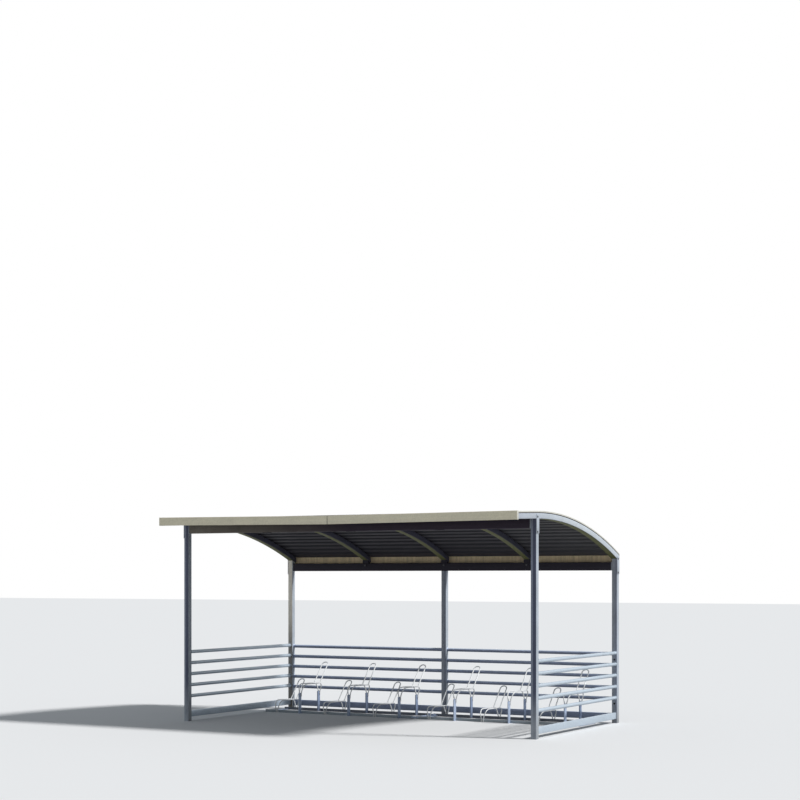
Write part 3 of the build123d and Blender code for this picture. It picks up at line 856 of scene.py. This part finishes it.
# How each finish departs from plain zinc
FINISHES = {
    "post_zinc": dict(streaks=0.14, grime=0.45, grime_height=0.35),
    # Painted shade on the front posts' fronts, fading to a painted dark reflection band across their right
    # side; the grime settings here make the lower fronts paler and bluer
    "post_front_zinc": dict(streaks=0.14, grime=0.9, grime_height=0.45, grime_tone=(0.55, 0.60, 0.66),
                            fade=("across", 0.34, 0.48, (0.10, 0.115, 0.18))),
    # Painted shade: the back posts' fronts fade across to a darker painted reflection band
    "back_post_zinc": dict(clouds=0.35, streaks=0.14, grime=0.3, grime_height=0.35,
                           fade=("across", 0.4, 1.0, (0.24, 0.27, 0.36))),
    # Painted shade below and painted light above: dark low down, fading to pale from 0.7 m to 1.1 m
    "left_post_zinc": dict(metallic=0.2, streaks=0.14, grime=0.3, grime_height=0.35,
                           fade=("Z", 0.7, 1.1, (0.90, 0.86, 0.76))),
    # Brown stain with painted shade: near black from the middle to the right end
    "front_beam_zinc": dict(specular=0.2, clouds=0.4, streaks=0.25, streak_axis="X",
                            fade=("X", FRAME_LEFT, 0.0, (0.045, 0.033, 0.052))),
    # Painted shade: almost black zinc for the back beam, its wedges and the arch cleats
    "back_beam_zinc": dict(specular=0.15, clouds=0.3, streaks=0.25, streak_axis="X"),
    # Painted shade and painted green bounce light: dark olive undersides of the arches
    "arch_zinc": dict(roughness=0.6, specular=0.2, clouds=0.3, streaks=0.2, streak_axis="Y"),
    # Painted shade: darker bluish copy for the arches' webs and upper faces
    "arch_web_zinc": dict(roughness=0.6, specular=0.2, clouds=0.3, streaks=0.2, streak_axis="Y"),
    "verge_zinc": dict(streak_axis="Y", fade=("Y", ROOF_FRONT, ROOF_FRONT + 1.1, (0.55, 0.60, 0.65))),
    # Dark sheet tone, with painted light that makes it lighter from x 0.8 m to the right end
    "sheet_coat": dict(roughness=0.6, metallic=0.0, specular=0.2, crystals=0.05, clouds=0.25, streaks=0.25,
                       streak_axis="X", dust_and_sheen=0.35, bump=0.05,
                       fade=("X", 0.8, 2.1, (0.075, 0.075, 0.078))),
    "fascia_zinc": dict(roughness=0.5, metallic=0.13, clouds=0.12, streaks=0.08, streak_axis="X"),
    "trim_zinc": dict(roughness=0.5, clouds=0.22, streaks=0.12, streak_axis="X"),
    "trim_stain": dict(roughness=0.5, clouds=0.25, streaks=0.35),
    # Painted sky light on the tubes' tops and painted shade on their undersides
    "tube_zinc": dict(roughness=0.26, metallic=0.7, specular=0.4, clouds=0.15, streak_axis="X",
                      lift=(0.42, 1.25)),
    # Painted light: brighter copy of the tube zinc, with painted sky light on top and painted shade
    # underneath
    "left_tube_zinc": dict(roughness=0.4, metallic=0.85, specular=0.4, clouds=0.1, streak_axis="X",
                           lift=(0.85, 1.15)),
    # Painted shade, bluish, with a painted sky sheen on the tops and painted shade underneath
    "back_tube_zinc": dict(specular=0.2, clouds=0.2, streak_axis="X", dust_and_sheen=0.9, dust_and_sheen_tone=(0.8, 0.88, 0.95),
                           lift=(0.5, 1.5)),
    "kick_zinc": dict(roughness=0.4, metallic=0.4, clouds=0.1, streaks=0.05, streak_axis="X"),
    "wire_zinc": dict(roughness=0.42, metallic=0.1, specular=0.4, clouds=0.12, streaks=0.05, grime=0.2,
                      grime_height=0.08),
    # Blue tint of painted sky light
    "flat_zinc": dict(metallic=0.2),
    # Painted shade: darker bluish copy of the uprights' zinc
    "rear_flat_zinc": dict(clouds=0.3, grime=0.3, grime_height=0.1),
    "rail_zinc": dict(clouds=0.3, streaks=0.15, streak_axis="X", grime=0.1, grime_height=0.1),
    # Painted shade: darker copy of the rail zinc
    "rear_rail_zinc": dict(clouds=0.3, streaks=0.15, streak_axis="X", grime=0.2, grime_height=0.1),
    # Painted shade: very dark tone for the bolts and screws
    "fixing_zinc": dict(roughness=0.45, metallic=0.1, clouds=0.25, streaks=0.0),
    # Painted shade: black discs that stand for holes
    "plug_black": dict(metallic=0.0, crystals=0.02, clouds=0.1, bump=0.05),
}


def finish_of(name):
    """One of the shelter's finishes, made once."""
    found = bpy.data.materials.get(name)
    return found or zinc(name, getattr(bpy.context.scene.shelter_finishes, name), **FINISHES[name])


# Pieces


# The finish of each post's front: a copy of the posts' zinc with painted shade, a painted dark reflection
# band or painted light on it
POST_FRONTS = {
    "front_left": "post_front_zinc",
    "front_right": "post_front_zinc",
    "back_left": "left_post_zinc",
    "back_middle": "back_post_zinc",
    "back_right": "back_post_zinc",
}


# The finishes of each panel's tubes and of its kick rail; the left tubes take a copy with painted light, the
# back tubes a copy with painted shade
PANEL_FINISHES = {
    "side_panel_left": ("left_tube_zinc", "kick_zinc"),
    "side_panel_right": ("tube_zinc", "kick_zinc"),
    "back_panel_left": ("back_tube_zinc", "back_tube_zinc"),
    "back_panel_right": ("back_tube_zinc", "back_tube_zinc"),
}


def upright_places(front_height, back_height, front, back):
    """Two places for a post's section, the upper one cut to a slope."""
    def foot(x, y):
        return Vector((x, y, 0.0))

    def head(x, y):
        share = (y - front) / (back - front)
        return Vector((x, y, front_height + (back_height - front_height) * share))
    return [foot, head]


class AddPosts(bpy.types.Operator):
    """Five square tubes with rounded corners, the end ones cut to the roof's slope"""

    bl_idname = "shelter.add_posts"
    bl_label = "Posts"

    def execute(self, context):
        sizes = context.scene.shelter_frame
        line = RoofLine(context.scene.shelter_roof)
        for name, front_finish in POST_FRONTS.items():
            low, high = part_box(f"post_{name}")
            front, back = line.height(low.y) - SEAT_GAP, line.height(high.y) - SEAT_GAP
            if name == "back_middle":
                front = back = high.z
            centre = (low + high) / 2
            section = [(x + centre.x, y + centre.y) for x, y in rectangle(POST_SIDE, POST_SIDE)]
            pairs = folded(section, sizes.tube_wall, sizes.tube_bend, CORNER_STEPS, closed=True)
            bm = bmesh.new()
            swept(bm, pairs, upright_places(front, back, low.y, high.y), closed=True)
            # Share across each post, which places the painted dark reflection band on the fronts
            across = bm.verts.layers.float.new("across")
            for vert in bm.verts:
                vert[across] = (vert.co.x - low.x) / POST_SIDE
            for face in bm.faces:
                # Front faces take the post's front finish, a copy of the posts' zinc with painted shade or
                # painted light
                face.material_index = int(face.calc_center_median().y < low.y + sizes.tube_wall / 2)
            finishes = ["post_zinc", front_finish]
            add_piece(f"square_post_{name}", bm, finishes, "frame_steel", f"post_{name}")
        return {"FINISHED"}


class AddBeams(bpy.types.Operator):
    """The two box beams with their end plates, and the wedges on the back beam"""

    bl_idname = "shelter.add_beams"
    bl_label = "Beams"

    def execute(self, context):
        sizes = context.scene.shelter_frame
        for name in ("front_beam", "back_beam"):
            low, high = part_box(name)
            centre, size = (low + high) / 2, high - low
            places = along_x((low.x, high.x), centre.y, centre.z)
            bm = bmesh.new()
            tube(bm, size.yz, sizes.tube_wall, sizes.tube_bend, places)
            add_piece(f"box_{name}", bm, f"{name}_zinc", "frame_steel", name)
        bm = bmesh.new()
        for name, front in (("front_beam", FRAME_FRONT), ("back_beam", FRAME_BACK - POST_SIDE)):
            low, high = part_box(name)
            for x in ((FRAME_LEFT + POST_SIDE, low.x), (high.x, FRAME_RIGHT - POST_SIDE)):
                plate(bm, (x[0], front, low.z), (x[1], front + POST_SIDE, high.z), sizes.plate_edge)
        add_piece("beam_flanges", bm, "post_zinc", "frame_steel", "beam_end_plates")
        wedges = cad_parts["arch_wedges"].data
        wedges.materials.clear()
        # The wedges take the back beam's almost black tone of painted shade
        wedges.materials.append(finish_of("back_beam_zinc"))
        return {"FINISHED"}


class AddArches(bpy.types.Operator):
    """Five lipped channels bent to the roof's line"""

    bl_idname = "shelter.add_arches"
    bl_label = "Arches"

    def execute(self, context):
        sizes = context.scene.shelter_roof
        line = RoofLine(sizes)
        tall, lip = sizes.arch_height, sizes.arch_lip
        for number, (low, high) in enumerate(ARCHES, 1):
            route = [(low.x, lip), (low.x, 0), (high.x, 0)]
            route += [(high.x, tall), (low.x, tall), (low.x, tall - lip)]
            pairs = folded(route, sizes.arch_wall, sizes.arch_bend)
            bm = bmesh.new()
            swept(bm, pairs, line.stations(low.y, high.y, ROOF_STEPS))
            # The lower flange keeps the underside finish with painted shade and green bounce light; the
            # outer web and the faces above take the copy with painted shade, except the right end arch's
            # outer web
            for face in bm.faces:
                spot = face.calc_center_median()
                if spot.x > high.x - sizes.arch_wall / 2:
                    face.material_index = 1
                elif spot.z > line.height(spot.y) + sizes.arch_wall / 2:
                    face.material_index = 2
            web = "verge_zinc" if number == len(ARCHES) else "arch_web_zinc"
            finishes = ["arch_zinc", web, "arch_web_zinc"]
            add_piece(f"arch_channel_{number}", bm, finishes, "frame_steel", f"roof_arch_{number}")
        return {"FINISHED"}


class AddRoofSheet(bpy.types.Operator):
    """Two lengths of ribbed sheet bent over the arches, with screws in their valleys"""

    bl_idname = "shelter.add_roof_sheet"
    bl_label = "Roof sheet"

    def execute(self, context):
        sizes = context.scene.shelter_roof
        line = RoofLine(sizes)
        under = sizes.arch_height + SEAT_GAP
        radius = line.radius + under
        scale = radius / line.radius
        run = -line.distance(ROOF_FRONT + sizes.edge_gap, under)
        depth = run + line.distance(ROOF_BACK - sizes.edge_gap, under) * scale
        valley = sizes.rib_pitch - sizes.rib_foot
        ribs = math.floor((depth - 2 * sizes.end_flat + valley) / sizes.rib_pitch)
        first = (depth - ribs * sizes.rib_pitch + valley) / 2
        tree = sheet_tree()
        for side in ("left", "right"):
            low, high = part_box(f"roof_sheet_{side}")
            values = {
                "Left": low.x, "Right": high.x, "Depth": depth, "Run": run, "Rib Start": first,
                "Rib End": first + ribs * sizes.rib_pitch - valley, "Rib Pitch": sizes.rib_pitch,
                "Rib Foot": sizes.rib_foot, "Rib Flank": (sizes.rib_foot - sizes.rib_crest) / 2,
                "Rib Height": sizes.rib_height, "Skin": sizes.skin, "Radius": radius, "Slope": line.slope,
                "Centre Y": line.centre_y, "Centre Z": line.centre_z, "Count": round(depth / SHEET_STEP) + 1,
                "Material": finish_of("sheet_coat"),
            }
            name = f"ribbed_sheet_{side}"
            mesh = grown(name, bpy.data.meshes.new("sheet seed"), tree, values)
            add_piece(name, mesh, "sheet_coat", "roof_sheet", f"roof_sheet_{side}")
        places = []
        for low, high in ARCHES[1:-1]:
            for rib in range(ribs - 1):
                middle = first + rib * sizes.rib_pitch + sizes.rib_foot + valley / 2 - run
                distance = middle if middle < 0 else middle / scale
                spot = ((low.x + high.x) / 2, *line.point(distance, under + sizes.skin))
                places.append((spot, line.away(distance), 1.0))
        fixings = context.scene.shelter_fixings
        screw = bolt(fixings.screw_radius, fixings.screw_height, HEX_SIDES, fixings.seal_radius,
                     fixings.seal_height)
        add_spread("roof_screws", places, bolt_tree(), screw, "fixing_zinc", "roof_sheet")
        return {"FINISHED"}


class AddEdgeTrims(bpy.types.Operator):
    """Folded trims along the roof's front, back and ends"""

    bl_idname = "shelter.add_edge_trims"
    bl_label = "Edge trims"

    def execute(self, context):
        sizes = context.scene.shelter_roof
        line = RoofLine(sizes)
        over = sizes.arch_height + 2 * SEAT_GAP + sizes.skin
        for side, sign in (("left", -1), ("right", 1)):
            self.add_fascia(sizes, side, sign)
            self.add_rear_trim(sizes, line, side, over)
            self.add_verge(sizes, line, side, sign, over)
        return {"FINISHED"}

    def add_fascia(self, sizes, side, sign):
        """A front trim, straight from its outer end to the lower seam, with an end return."""
        low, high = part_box(f"fascia_{side}")
        outer, seam = (low.x, high.x) if side == "left" else (high.x, low.x)
        seam += sign * sizes.seam_gap / 2
        wall, tall = sizes.trim_wall, sizes.fascia_height
        bottom, back = high.z - tall, ROOF_FRONT + sizes.trim_flange
        pairs = folded([(back, tall), (ROOF_FRONT, tall), (ROOF_FRONT, 0.0)], wall, sizes.trim_bend)
        places = [lambda y, z, x=x, lift=lift: Vector((x, y, lift + z))
                  for x, lift in ((outer, bottom), (seam, low.z))]
        bm = bmesh.new()
        swept(bm, pairs, places)
        end = sorted((outer, outer - sign * wall))
        plate(bm, (end[0], ROOF_FRONT + wall, bottom), (end[1], back, high.z - wall), wall / 4)
        for face in bm.faces:
            middle = face.calc_center_median()
            face.material_index = int(abs(middle.x - outer) < 1.5 * wall and middle.y > ROOF_FRONT + wall)
        add_piece(f"fascia_trim_{side}", bm, ["fascia_zinc", "trim_zinc"], "edge_trim", f"fascia_{side}")

    def add_rear_trim(self, sizes, line, side, over):
        """A rear trim that hangs below the arches' ends and laps over the sheet."""
        low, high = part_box(f"rear_flashing_{side}")
        wall = sizes.trim_wall
        flange_y = ROOF_BACK - sizes.trim_flange
        bottom = line.height(ROOF_BACK) - sizes.rear_lap
        route = [(ROOF_BACK, bottom), (ROOF_BACK, line.height(ROOF_BACK, over + wall)),
                 (flange_y, line.height(flange_y, over + wall))]
        bm = bmesh.new()
        swept(bm, folded(route, wall, sizes.trim_bend), along_x((low.x, high.x)))
        for face in bm.faces:
            middle = face.calc_center_median()
            face.material_index = int(abs(middle.y - ROOF_BACK + wall) < wall / 4)
        add_piece(f"rear_trim_{side}", bm, ["trim_zinc", "trim_stain"], "edge_trim", f"rear_flashing_{side}")

    def add_verge(self, sizes, line, side, sign, over):
        """A curved angle over the sheet's end, with a leg down beside it."""
        low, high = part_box(f"verge_trim_{side}")
        outer = FRAME_RIGHT if side == "right" else FRAME_LEFT
        top = over + sizes.rib_height + sizes.trim_wall
        route = [(0, top - sizes.verge_leg), (0, top), (-sizes.verge_flange, top)]
        pairs = [tuple(Vector((outer + sign * x, rise)) for x, rise in pair)
                 for pair in folded(route, sizes.trim_wall, sizes.trim_bend)]
        bm = bmesh.new()
        swept(bm, pairs, line.stations(low.y, high.y, ROOF_STEPS))
        add_piece(f"verge_angle_{side}", bm, "trim_zinc", "edge_trim", f"verge_trim_{side}")


class AddPanels(bpy.types.Operator):
    """Tube panels over flat kick rails, on both sides and at the back"""

    bl_idname = "shelter.add_panels"
    bl_label = "Panels"

    def execute(self, context):
        sizes = context.scene.shelter_panels
        tree = rail_tree()
        for name, (tubes_finish, kick_finish) in PANEL_FINISHES.items():
            low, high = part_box(name)
            centre = (low + high) / 2
            lowest = high.z - sizes.rail_radius - sizes.rail_pitch * (sizes.rail_count - 1)
            kick_z = low.z + sizes.kick_height / 2
            if name.startswith("side"):
                seed = ((centre.x, low.y, lowest), (0, 1, 0), high.y - low.y)
                places = along_y((low.y, high.y), centre.x, kick_z)
            else:
                seed = ((low.x, centre.y, lowest), (1, 0, 0), high.x - low.x)
                places = along_x((low.x, high.x), centre.y, kick_z)
            values = {"Count": sizes.rail_count, "Pitch": sizes.rail_pitch, "Radius": sizes.rail_radius,
                      "Weld Reach": sizes.weld_reach, "Material": finish_of(tubes_finish)}
            bm = bmesh.new()
            bm.from_mesh(grown(name, seeds(name, [seed]), tree, values))
            tubes = len(bm.faces)
            tube(bm, (sizes.kick_depth, sizes.kick_height), sizes.kick_wall, sizes.kick_bend, places)
            bm.faces.ensure_lookup_table()
            for face in bm.faces[tubes:]:
                face.material_index = 1
            add_piece(f"tube_{name}", bm, [tubes_finish, kick_finish], "panel_steel", name)
        return {"FINISHED"}


class AddRack(bpy.types.Operator):
    """Wheel rack: angle rails, ties, uprights and bent wire holders at two heights"""

    bl_idname = "shelter.add_rack"
    bl_label = "Wheel rack"

    def execute(self, context):
        sizes = context.scene.shelter_rack
        edge = context.scene.shelter_frame.plate_edge
        self.add_rails(sizes)
        self.add_ties(sizes, edge)
        self.add_flats(sizes, edge)
        seat = sizes.wire_radius + SEAT_GAP
        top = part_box("rack_uprights")[1].z
        rear_web = RACK_BACK - sizes.angle_wall
        high_feet = {
            "spread": sizes.upright_wall + 2 * seat, "front": RACK_FRONT - sizes.wire_inset,
            "back": rear_web - sizes.wire_inset, "low": top - sizes.wire_weld, "high": top}
        low_feet = {
            "spread": sizes.foot_spread, "front": RACK_FRONT - seat, "back": RACK_BACK + seat,
            "low": SEAT_GAP, "high": sizes.angle_side}
        high_hoop = (sizes.high_hoop_foot, sizes.high_hoop_top)
        low_hoop = (sizes.low_hoop_foot, sizes.low_hoop_top)
        beads = []
        for kind, spots, platform, feet, hoop in (
                ("high", HIGH_PLACES, sizes.high_platform, high_feet, high_hoop),
                ("low", LOW_PLACES, sizes.low_platform, low_feet, low_hoop)):
            for number, x in enumerate(spots, 1):
                bm = bmesh.new()
                self.bend_side_wires(bm, sizes, x, platform, feet)
                self.bend_hoop(bm, sizes, x, platform, hoop)
                add_piece(f"{kind}_wire_holder_{number}", bm, "wire_zinc", "rack_steel",
                          f"{kind}_holder_{number}")
                beads += self.foot_welds(sizes, x, feet, kind == "high")
                beads += self.hoop_welds(sizes, x, platform, hoop)
        bead = {"Radius": context.scene.shelter_fixings.bead_radius}
        add_spread("rack_welds", beads, bead_tree(), bead, "wire_zinc", "rack_steel")
        return {"FINISHED"}

    def add_rails(self, sizes):
        """The four angles on the ground."""
        side, wall = sizes.angle_side, sizes.angle_wall
        pairs = folded([(0, side), (0, 0), (side, 0)], wall, sizes.angle_bend)
        for module in (1, 2):
            # The rear angles take the darker copy with painted shade
            for name, web, into, finish in (("front", RACK_FRONT, 1, "rail_zinc"),
                                            ("rear", RACK_BACK, -1, "rear_rail_zinc")):
                node = f"rack_{module}_{name}_rail"
                low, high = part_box(node)
                bm = bmesh.new()
                swept(bm, pairs, along_x((low.x, high.x), web, way=into))
                add_piece(f"rack_{module}_{name}_angle", bm, finish, "rack_steel", node)

    def add_ties(self, sizes, edge):
        """The plates that join the two modules, and the flats across each module's ends."""
        wall, lap = sizes.angle_wall, sizes.splice_lap
        splice_top = wall + sizes.splice_height
        bm = bmesh.new()
        for web, into in ((RACK_FRONT, 1), (RACK_BACK, -1)):
            y = sorted((web + into * wall, web + into * (wall + sizes.splice_wall)))
            plate(bm, (JOINT_LEFT - lap, y[0], wall), (JOINT_RIGHT + lap, y[1], splice_top), edge)
        foot = wall + SEAT_GAP
        top = foot + sizes.tie_thickness
        inset = wall + sizes.tie_clearance
        for module in (1, 2):
            low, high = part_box(f"rack_{module}_front_rail")
            for x in (low.x, high.x - sizes.tie_width):
                plate(bm, (x, RACK_FRONT + inset, foot), (x + sizes.tie_width, RACK_BACK - inset, top), edge)
        add_piece("rack_ties", bm, "flat_zinc", "rack_steel", "rack_splices")

    def add_flats(self, sizes, edge):
        """The flats that carry the high holders, edge on to the front."""
        half, top = sizes.upright_wall / 2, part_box("rack_uprights")[1].z
        rear_web = RACK_BACK - sizes.angle_wall
        rear_foot = sizes.angle_wall + SEAT_GAP
        # The rear flats take the darker copy with painted shade
        for name, back, foot, finish, nodes in (
                ("front", RACK_FRONT, 0.0, "flat_zinc", ["rack_uprights"]),
                ("rear", rear_web, rear_foot, "rear_flat_zinc", [])):
            bm = bmesh.new()
            for x in HIGH_PLACES:
                plate(bm, (x - half, back - sizes.upright_width, foot), (x + half, back, top), edge)
            add_piece(f"rack_{name}_flats", bm, finish, "rack_steel", *nodes)

    def bend_side_wires(self, bm, sizes, x, platform, feet):
        """A holder's two side wires, up from the front, back along the platform and down behind."""
        radii = (sizes.foot_bend, sizes.front_bend, sizes.rear_bend, sizes.foot_bend)
        for side in (-1, 1):
            foot_x, wire_x = x + side * feet["spread"] / 2, x + side * sizes.wire_spread / 2
            route = [
                (foot_x, feet["front"], feet["low"]),
                (foot_x, feet["front"], feet["high"]),
                (wire_x, feet["front"], platform + sizes.platform_fall),
                (wire_x, feet["back"], platform),
                (foot_x, feet["back"], feet["high"]),
                (foot_x, feet["back"], feet["low"]),
            ]
            bar(bm, rounded(route, radii, BEND_STEPS), sizes.wire_radius)

    def bend_hoop(self, bm, sizes, x, platform, hoop):
        """A holder's leaning hoop, which stands on its side wires."""
        start_y, end_y = RACK_FRONT + hoop[0], RACK_FRONT + sizes.hoop_reach
        lean = Vector((0, end_y - start_y, hoop[1] - platform)).normalized()
        radius = sizes.wire_spread / 2
        crown = Vector((x, end_y, hoop[1])) - lean * radius
        route = [Vector((x - radius, start_y, platform))]
        for step in range(HOOP_STEPS + 1):
            turn = math.pi * step / HOOP_STEPS
            route.append(crown - Vector((radius * math.cos(turn), 0, 0)) + lean * (radius * math.sin(turn)))
        bar(bm, route + [Vector((x + radius, start_y, platform))], sizes.wire_radius)

    def foot_welds(self, sizes, x, feet, on_flats):
        """Weld beads beside a holder's four feet, towards the flats or the angles that carry them."""
        beads = []
        middle, reach = (feet["low"] + feet["high"]) / 2, (feet["high"] - feet["low"]) * FOOT_BEAD_REACH
        toward = BEAD_DEPTH * sizes.wire_radius
        for side in (-1, 1):
            foot_x = x + side * feet["spread"] / 2
            for y, way in ((feet["front"], 1), (feet["back"], -1)):
                if on_flats:
                    spot = (foot_x - side * toward, y - toward, middle)
                else:
                    spot = (foot_x - side * toward / 2, y + way * toward, middle)
                beads.append((spot, (0, 0, 1), reach))
        return beads

    def hoop_welds(self, sizes, x, platform, hoop):
        """Weld beads where a hoop stands on the side wires."""
        y, z = RACK_FRONT + hoop[0], platform + HOOP_BEAD_RISE * sizes.wire_radius
        reach = HOOP_BEAD_REACH * sizes.wire_radius
        return [((x + side * sizes.wire_spread / 2, y, z), (0, 1, 0), reach) for side in (-1, 1)]


class AddFixings(bpy.types.Operator):
    """Head plates, cleats and bolts of the frame, black discs of painted shade in the back right post's
    holes, and the rack's bolts
    """

    bl_idname = "shelter.add_fixings"
    bl_label = "Fixings"

    def execute(self, context):
        sizes = context.scene.shelter_frame
        fixings = context.scene.shelter_fixings
        bolts = self.add_head_plates(sizes, RoofLine(context.scene.shelter_roof))
        bolts += self.add_cleats(sizes, fixings)
        rack_bolts = self.rack_bolts(context.scene.shelter_rack)
        tree = bolt_tree()
        values = bolt(fixings.bolt_radius, fixings.bolt_height, HEX_SIDES, fixings.washer_radius,
                      fixings.washer_height)
        add_spread("frame_bolts", bolts, tree, values, "fixing_zinc", "frame_steel")
        add_spread("rack_bolts", rack_bolts, tree, values, "flat_zinc", "rack_steel")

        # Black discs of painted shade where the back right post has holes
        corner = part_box("post_back_right")[0]
        middle = corner.x + POST_SIDE / 2
        hole_shades = [((middle, corner.y, height), (0, -1, 0), 1.0) for height in HOLE_SHADE_HEIGHTS]
        values = bolt(fixings.hole_shade_radius * HOLE_SHADE_CROWN_SHARE, HOLE_SHADE_CROWN_HEIGHT, ROUND_SIDES,
                      fixings.hole_shade_radius, fixings.washer_height)
        add_spread("post_hole_shades", hole_shades, tree, values, "plug_black", "frame_steel")
        return {"FINISHED"}

    def add_head_plates(self, sizes, line):
        """The plates at the four end posts' heads, and the places of their bolts."""
        bm = bmesh.new()
        bolts = []
        for front in (FRAME_FRONT, FRAME_BACK - POST_SIDE):
            seat = min(line.height(front), line.height(front + POST_SIDE))
            low, high = seat - sizes.head_plate_drop, seat + sizes.head_plate_rise
            for face, side in ((FRAME_LEFT, -1), (FRAME_RIGHT, 1)):
                outer = face + side * sizes.head_plate
                x = sorted((face, outer))
                plate(bm, (x[0], front, low), (x[1], front + POST_SIDE, high), sizes.plate_edge)
                for height in (low + HEAD_BOLT_LOW, high - HEAD_BOLT_HIGH):
                    bolts.append(((outer, front + HEAD_BOLT_INSET, height), (side, 0, 0), 1.0))
        add_piece("head_plates", bm, "post_zinc", "frame_steel", "post_head_plates")
        return bolts

    def add_cleats(self, sizes, fixings):
        """What holds the inner arches to the two beams, and the places of its bolts."""
        bm = bmesh.new()
        bolts = []
        back_low, back_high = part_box("back_beam")
        front_low, front_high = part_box("front_beam")
        wall = fixings.cleat_wall
        front_y = (front_low.y + front_high.y) / 2
        for arch_low, arch_high in ARCHES[1:-1]:
            x = (arch_low.x + arch_high.x) / 2
            half = fixings.cleat_width / 2
            low, high = back_high.z - fixings.cleat_height, back_high.z - SEAT_GAP
            plate(bm, (x - half, back_low.y - wall, low), (x + half, back_low.y, high), sizes.plate_edge)
            bolts.append(((x, back_low.y - wall, (low + high) / 2), (0, -1, 0), 1.0))
            half = fixings.saddle_width / 2
            y = (front_low.y + wall, front_high.y - wall)
            plate(bm, (x - half, y[0], front_low.z - wall), (x + half, y[1], front_low.z), sizes.plate_edge)
            for along in (-half, half):
                spot = (x + along * SADDLE_BOLTS, front_y, front_low.z - wall)
                bolts.append((spot, (0, 0, -1), 1.0))
        # The cleats take the back beam's almost black tone of painted shade
        add_piece("arch_cleats", bm, "back_beam_zinc", "frame_steel")
        return bolts

    def rack_bolts(self, rack):
        """Places of the bolts through the plates that join the rack's modules."""
        bolts = []
        for x in (JOINT_LEFT - rack.splice_lap / 2, JOINT_RIGHT + rack.splice_lap / 2):
            for y, way in ((RACK_FRONT, -1), (RACK_BACK, 1)):
                bolts.append(((x, y, rack.angle_side / 2), (0, way, 0), 1.0))
        return bolts


class AddStudio(bpy.types.Operator):
    """Pale floor, soft light and the camera"""

    bl_idname = "shelter.add_studio"
    bl_label = "Studio"

    def execute(self, context):
        scene = context.scene
        sizes = scene.shelter_studio
        self.add_floor(scene, sizes)
        self.add_light(scene, sizes)
        self.add_camera(scene, sizes)
        scene.view_settings.view_transform = "Standard"
        return {"FINISHED"}

    def add_floor(self, scene, sizes):
        """A plain pale floor that sends little light up."""
        mesh = bpy.data.meshes.new("floor")
        corners = [(x, y, 0) for x, y in rectangle(sizes.floor_size, sizes.floor_size)]
        mesh.from_pydata(corners, [], [(0, 1, 2, 3)])
        material = bpy.data.materials.new("floor_finish")
        tree = cleared(material)
        tone = blend(tree, seen(tree), FLOOR_AS_LIT, FLOOR_AS_SEEN)
        shader = put(tree, "ShaderNodeBsdfDiffuse", {"Color": tone}).outputs[0]
        put(tree, "ShaderNodeOutputMaterial", {"Surface": shader})
        mesh.materials.append(material)
        floor = bpy.data.objects.new("floor", mesh)
        scene.collection.objects.link(floor)

    def add_light(self, scene, sizes):
        """Light from all round, white where it is seen, and one main lamp."""
        world = bpy.data.worlds.new("studio")
        tree = cleared(world)
        inputs = {"Color": SKY_LIGHT, "Strength": sizes.fill}
        light = put(tree, "ShaderNodeBackground", inputs).outputs[0]
        white = put(tree, "ShaderNodeBackground", {"Color": WHITE, "Strength": 1.0}).outputs[0]
        mixed = put(tree, "ShaderNodeMixShader", {0: seen(tree), 1: light, 2: white}).outputs[0]
        put(tree, "ShaderNodeOutputWorld", {"Surface": mixed})
        scene.world = world

        lamp = bpy.data.lights.new("sun", "SUN")
        lamp.energy = sizes.sun_strength
        lamp.angle = sizes.sun_size
        sun = bpy.data.objects.new("sun", lamp)
        sun.rotation_euler = Vector(sizes.sun_from).to_track_quat("Z", "Y").to_euler()
        scene.collection.objects.link(sun)

    def add_camera(self, scene, sizes):
        """The camera at the photograph's angle."""
        lens = bpy.data.cameras.new("camera")
        lens.sensor_width = SENSOR_WIDTH
        lens.lens = sizes.lens
        lens.shift_y = sizes.rise
        lens.clip_end = VIEW_END
        camera = bpy.data.objects.new("camera", lens)
        camera.location = sizes.eye
        camera.rotation_euler = (math.radians(90), 0, sizes.turn)
        scene.collection.objects.link(camera)
        scene.camera = camera


class SHELTER_PT_pieces(bpy.types.Panel):
    """The shelter's sizes and the steps that build it"""

    bl_label = "Bike shelter"
    bl_space_type = "VIEW_3D"
    bl_region_type = "UI"
    bl_category = "Shelter"

    def draw(self, context):
        for operator in OPERATORS:
            self.layout.operator(operator.bl_idname)
        for name, group in GROUPS.items():
            box = self.layout.box()
            box.label(text=group.__doc__)
            for field in group.__annotations__:
                box.prop(getattr(context.scene, name), field)


OPERATORS = [AddPosts, AddBeams, AddArches, AddRoofSheet, AddEdgeTrims, AddPanels, AddRack, AddFixings,
             AddStudio]


def register():
    """Registers the sizes, the operators and the panel."""
    for name, group in GROUPS.items():
        bpy.utils.register_class(group)
        setattr(bpy.types.Scene, name, PointerProperty(type=group))
    for item in (*OPERATORS, SHELTER_PT_pieces):
        bpy.utils.register_class(item)


def unregister():
    """Takes them away again."""
    for item in (SHELTER_PT_pieces, *reversed(OPERATORS)):
        bpy.utils.unregister_class(item)
    for name, group in reversed(GROUPS.items()):
        delattr(bpy.types.Scene, name)
        bpy.utils.unregister_class(group)


def main():
    """Builds the shelter."""
    register()
    bpy.ops.shelter.add_posts()
    bpy.ops.shelter.add_beams()
    bpy.ops.shelter.add_arches()
    bpy.ops.shelter.add_roof_sheet()
    bpy.ops.shelter.add_edge_trims()
    bpy.ops.shelter.add_panels()
    bpy.ops.shelter.add_rack()
    bpy.ops.shelter.add_fixings()
    bpy.ops.shelter.add_studio()


if __name__ == "__main__":
    main()
